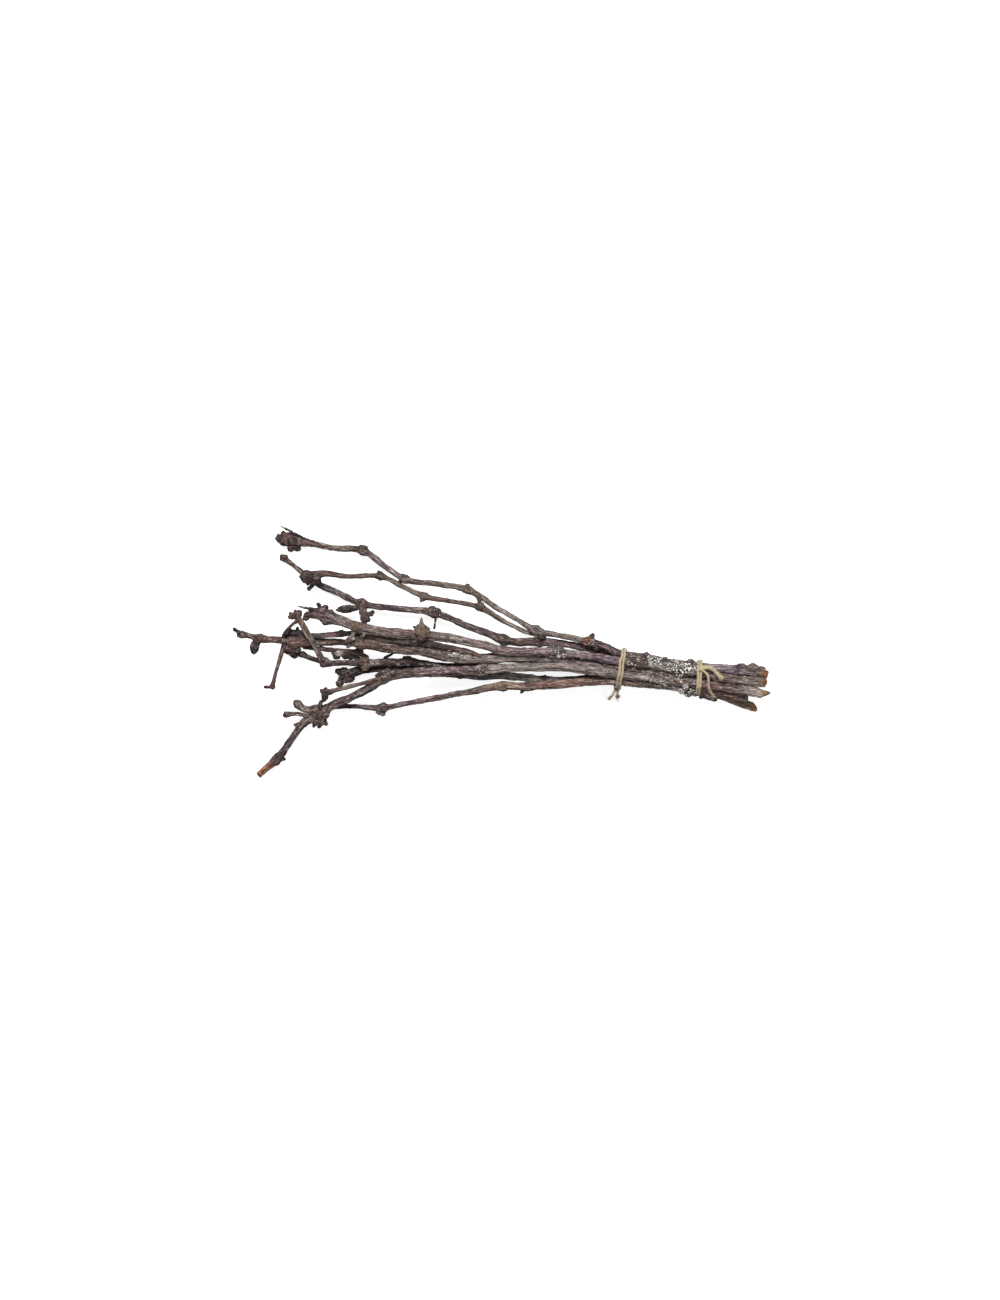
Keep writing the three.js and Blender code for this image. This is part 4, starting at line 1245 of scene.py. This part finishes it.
def tie_up(name, tie, held, seed):
    """One tie: its turns, its knot and its two tails."""
    yarn = Yarn(seed)
    for shift, sway in tie["turns"]:
        yarn.strand(loop_path(tie, held, shift, sway, yarn.wander))
    angle = math.radians(tie["knot"])
    knot = loop_point(tie, angle, held, KNOT_LIFT)
    yarn.strand(knot_path(knot, outward(angle), np.array([1.0, 0, 0])))
    for tail, girth in zip(tie["tails"], tie["girths"]):
        yarn.strand([knot, *[np.array(p, float) for p in tail]], True, girth)
    return yarn.piece(name.replace("_tie", "_strands"))


# ---- Finishes ----


class Level:
    """A number that varies over a surface; sums and products of levels add Math nodes."""

    def __init__(self, finish, socket):
        self.finish = finish
        self.socket = socket

    def _maths(self, operation, first, second):
        settings = {"operation": operation}
        return self.finish.node("ShaderNodeMath", settings, {0: first, 1: second})

    def __add__(self, other):
        return self._maths("ADD", self, other)

    def __sub__(self, other):
        return self._maths("SUBTRACT", self, other)

    def __mul__(self, other):
        return self._maths("MULTIPLY", self, other)

    def __rsub__(self, other):
        return self._maths("SUBTRACT", other, self)

    def __abs__(self):
        return self._maths("ABSOLUTE", self, 0)

    __radd__ = __add__
    __rmul__ = __mul__

    def between(self, low, high):
        """0 at low, 1 at high, and smooth in between."""
        settings = {"interpolation_type": "SMOOTHSTEP"}
        sockets = {"Value": self, "From Min": low, "From Max": high}
        return self.finish.node("ShaderNodeMapRange", settings, sockets, "Result")


class Finish:
    """One material, built from expressions."""

    def __init__(self, name):
        self.material = bpy.data.materials.new(name)
        self.material.use_nodes = True
        self.tree = self.material.node_tree
        self.shader = self.tree.nodes["Principled BSDF"]

    def node(self, kind, settings, sockets, result=0):
        made = self.tree.nodes.new(kind)
        for key, value in settings.items():
            setattr(made, key, value)
        for key, value in sockets.items():
            self.feed(self.socket(made.inputs, key), value)
        return Level(self, self.socket(made.outputs, result))

    def socket(self, sockets, key):
        if isinstance(key, int):
            return sockets[key]
        return next(s for s in sockets if s.name == key and s.enabled)

    def feed(self, socket, value):
        if isinstance(value, Level):
            self.tree.links.new(value.socket, socket)
        elif isinstance(value, np.ndarray) and socket.type == "RGBA":
            socket.default_value = (*value, 1)
        else:
            socket.default_value = value

    def fact(self, name, result="Fac"):
        return self.node("ShaderNodeAttribute", {"attribute_name": name}, {}, result)

    def vector_maths(self, operation, vector, other, result=0):
        settings = {"operation": operation}
        return self.node("ShaderNodeVectorMath", settings, {0: vector, 1: other}, result)

    def grain_noise(self, vector, scales, detail=2.0, rough=0.55):
        sockets = {"Vector": self.vector_maths("MULTIPLY", vector, scales), "Scale": 1.0}
        sockets |= {"Detail": detail, "Roughness": rough}
        return self.node("ShaderNodeTexNoise", {}, sockets)

    def mix(self, share, first, second, blend="MIX"):
        settings = {"data_type": "RGBA", "blend_type": blend}
        sockets = {"Factor": share, "A": first, "B": second}
        return self.node("ShaderNodeMix", settings, sockets, "Result")

    def bump(self, height, distance, strength):
        sockets = {"Height": height, "Distance": distance, "Strength": strength}
        return self.node("ShaderNodeBump", {}, sockets)

    def surface(self, sockets):
        for key, value in sockets.items():
            self.feed(self.shader.inputs[key], value)
        return self.material


def bark_finish(name, silver_and_highlight_share, gloss):
    """Dry bark: streaks, fine threads, dark cracks with painted shade, a silvery coat with painted
    highlights on the crests, painted shade in the hollows, lichen, and bare end wood.
    """
    bark = Finish(name)
    grain = bark.fact("grain", "Vector")
    shade = bark.fact("shade", "Vector")
    relief = bark.fact("relief")
    knot = bark.fact("knot")
    streaks = bark.grain_noise(grain, (0.1, 0.85, 0.85), 3.0, 0.6)
    threads = bark.grain_noise(grain, (0.35, 2.4, 2.4))
    blotches = bark.grain_noise(grain, (0.25, 0.5, 0.5))
    cracks = 1 - abs(bark.grain_noise(grain, (0.14, 1.3, 1.3), 1.0) - 0.5).between(0.0, 0.06)
    flecks = bark.grain_noise(grain, (0.4, 1.2, 1.2), 3.0, 0.65)

    # Painted shade and highlight: the colour is darker in the hollows of the relief and lighter on
    # its crests; streaks and threads add the bark's own tone.
    painted_crest_light = relief.between(-0.28, 0.22)
    light = 0.04 + 0.45 * painted_crest_light + 0.78 * streaks.between(0.36, 0.62)
    light = light + 0.55 * threads.between(0.34, 0.64)
    light = light * (1 - 0.22 * knot)
    colour = bark.mix(1.0, shade, light, "MULTIPLY")
    colour = bark.mix(blotches.between(0.52, 0.68) * 0.45, colour, UMBER)
    colour = bark.mix(blotches.between(0.48, 0.32) * 0.35, colour, MAUVE)
    # The silver is partly a silvery coat on the bark and partly a painted highlight, laid thickest
    # on the crests.
    silver_and_crest_highlight = flecks.between(0.5, 0.64) * (0.25 + 0.75 * painted_crest_light) * (1 - 0.75 * knot) * silver_and_highlight_share
    colour = bark.mix(silver_and_crest_highlight, colour, SILVER_AND_HIGHLIGHT)
    colour = bark.mix(knot * threads.between(0.42, 0.58) * 0.6, colour, SOOT)
    # Dark cracks: dark bark in the fissures, deepened with painted shade.
    colour = bark.mix(cracks * (0.7 + 0.2 * knot), colour, CRACK_AND_SHADE)

    scurf = bark.grain_noise(grain, (0.5, 0.6, 0.6), 3.0, 0.7)
    spots = bark.grain_noise(grain, (1.25, 1.4, 1.4), 1.0)
    crust = bark.fact("crust")
    spread = crust.between(0.04, 0.3)
    colour = bark.mix(crust * spots.between(0.58, 0.43), colour, GRIME)
    lichen = (spots + 0.35 * scurf + 0.25 * crust).between(0.905, 0.955) * spread
    lichen_shade = bark.mix(threads.between(0.3, 0.55), LICHEN_EDGE, LICHEN)
    colour = bark.mix(lichen, colour, lichen_shade)

    cut = bark.fact("cut").between(0.3, 0.9)
    across = bark.vector_maths("MULTIPLY", grain, (0, 1, 1))
    pith = bark.vector_maths("LENGTH", across, (0, 0, 0), "Value")
    years = bark.node("ShaderNodeMath", {"operation": "SINE"}, {0: pith * 9})
    wood = bark.mix((years * 0.1 + threads).between(0.35, 0.7), RUST, END_WOOD)
    wood = bark.mix(flecks.between(0.5, 0.62) * 0.7, wood, UMBER)
    wood = bark.mix(1 - pith.between(0.25, 0.5), wood, SOOT)
    colour = bark.mix(cut, colour, wood)

    height = 0.5 * threads + 0.35 * streaks + 0.5 * scurf * lichen - 0.6 * cracks + 0.25 * flecks
    return bark.surface({
        "Base Color": colour,
        "Roughness": gloss + 0.12 * threads + 0.25 * lichen,
        "Normal": bark.bump(height, 0.0006, 0.9),
        "Specular IOR Level": 0.3,
    })


def jute_finish():
    """Natural jute: fine fibres along each ply in a dark and a pale tone, partly painted shade and
    highlight, with dusty patches.
    """
    jute = Finish("jute twine")
    lay = jute.fact("lay", "Vector")
    fibres = jute.grain_noise(lay, (0.8, 4.5, 4.5))
    patches = jute.grain_noise(lay, (0.35, 0.5, 0.5))
    # The dark fibre tone is partly painted shade, the pale one partly a painted highlight, mixed at
    # random along the fibres.
    colour = jute.mix(fibres.between(0.36, 0.62), JUTE_DARK_FIBRE_AND_SHADE, JUTE_PALE_FIBRE_AND_HIGHLIGHT)
    colour = jute.mix(patches.between(0.52, 0.7) * 0.5, colour, JUTE_DUST)
    return jute.surface({
        "Base Color": colour,
        "Roughness": 0.8 + 0.1 * fibres,
        "Normal": jute.bump(fibres, 0.00012, 0.9),
        "Sheen Weight": 0.25,
        "Specular IOR Level": 0.25,
    })


# ---- The bundle ----


def place(piece, node, slot, material):
    piece.data.materials.append(material)
    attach(piece, "root")
    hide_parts(node)


def build_bundle():
    old_bark = bark_finish("weathered bark", 0.75, 0.72)
    young_bark = bark_finish("young bark", 0.35, 0.6)
    for seed, (name, twig) in enumerate(TWIGS.items(), start=1):
        place(grow(name, twig, seed, 1.0), name, "grey_bark", old_bark)
    for seed, (name, fork) in enumerate(FORKS.items(), start=21):
        place(grow(name, fork, seed, 0.6), name, "olive_bark", young_bark)
    jute = jute_finish()
    held = [route_of(twig) for twig in TWIGS.values()]
    for seed, (name, tie) in enumerate(TIES.items(), start=41):
        place(tie_up(name, tie, held, seed), name, "twine", jute)


# ---- Studio ----
CAMERA_HEIGHT = 2.4
VIEW_HEIGHT = 0.65  # how much of the table the view's long side takes in
SENSOR = 36.0
FLOOR_HALF = 3
FLOOR_GLOW = 0.86  # keeps the paper white and the shadows faint
SKY_LIGHT = 0.18


def set_camera():
    lens = bpy.data.cameras.new("camera")
    lens.sensor_width = SENSOR
    lens.lens = SENSOR * CAMERA_HEIGHT / VIEW_HEIGHT
    lens.clip_end = 20
    camera = add_to_scene("camera", lens)
    camera.location = (0, 0, CAMERA_HEIGHT)
    bpy.context.scene.camera = camera


def add_floor():
    mesh = bpy.data.meshes.new("floor")
    corners = [(FLOOR_HALF * x, FLOOR_HALF * y, 0) for x, y in [(-1, -1), (1, -1), (1, 1), (-1, 1)]]
    mesh.from_pydata(corners, [], [(0, 1, 2, 3)])
    floor = add_to_scene("floor", mesh)
    mesh.materials.append(Finish("white paper").surface({
        "Base Color": (0.5, 0.5, 0.5, 1),
        "Roughness": 0.9,
        "Specular IOR Level": 0.1,
        "Emission Color": (1, 1, 1, 1),
        "Emission Strength": FLOOR_GLOW,
    }))
    floor.visible_diffuse = False
    floor.visible_glossy = False


def add_softbox(name, at, size, power):
    lamp = bpy.data.lights.new(name, "AREA")
    lamp.size = size
    lamp.energy = power
    softbox = add_to_scene(name, lamp)
    softbox.location = at
    softbox.rotation_euler = (-Vector(at)).to_track_quat("-Z", "Y").to_euler()


def light_studio():
    add_softbox("key softbox", at=(-0.25, 0.8, 1.4), size=0.6, power=33)
    add_softbox("fill softbox", at=(0.9, -0.6, 1.3), size=1.0, power=5)
    world = bpy.data.worlds.new("studio")
    world.use_nodes = True
    sky = world.node_tree.nodes["Background"]
    sky.inputs["Color"].default_value = (1, 1, 1, 1)
    sky.inputs["Strength"].default_value = SKY_LIGHT
    bpy.context.scene.world = world
    bpy.context.scene.view_settings.view_transform = "Standard"


build_bundle()
set_camera()
add_floor()
light_studio()
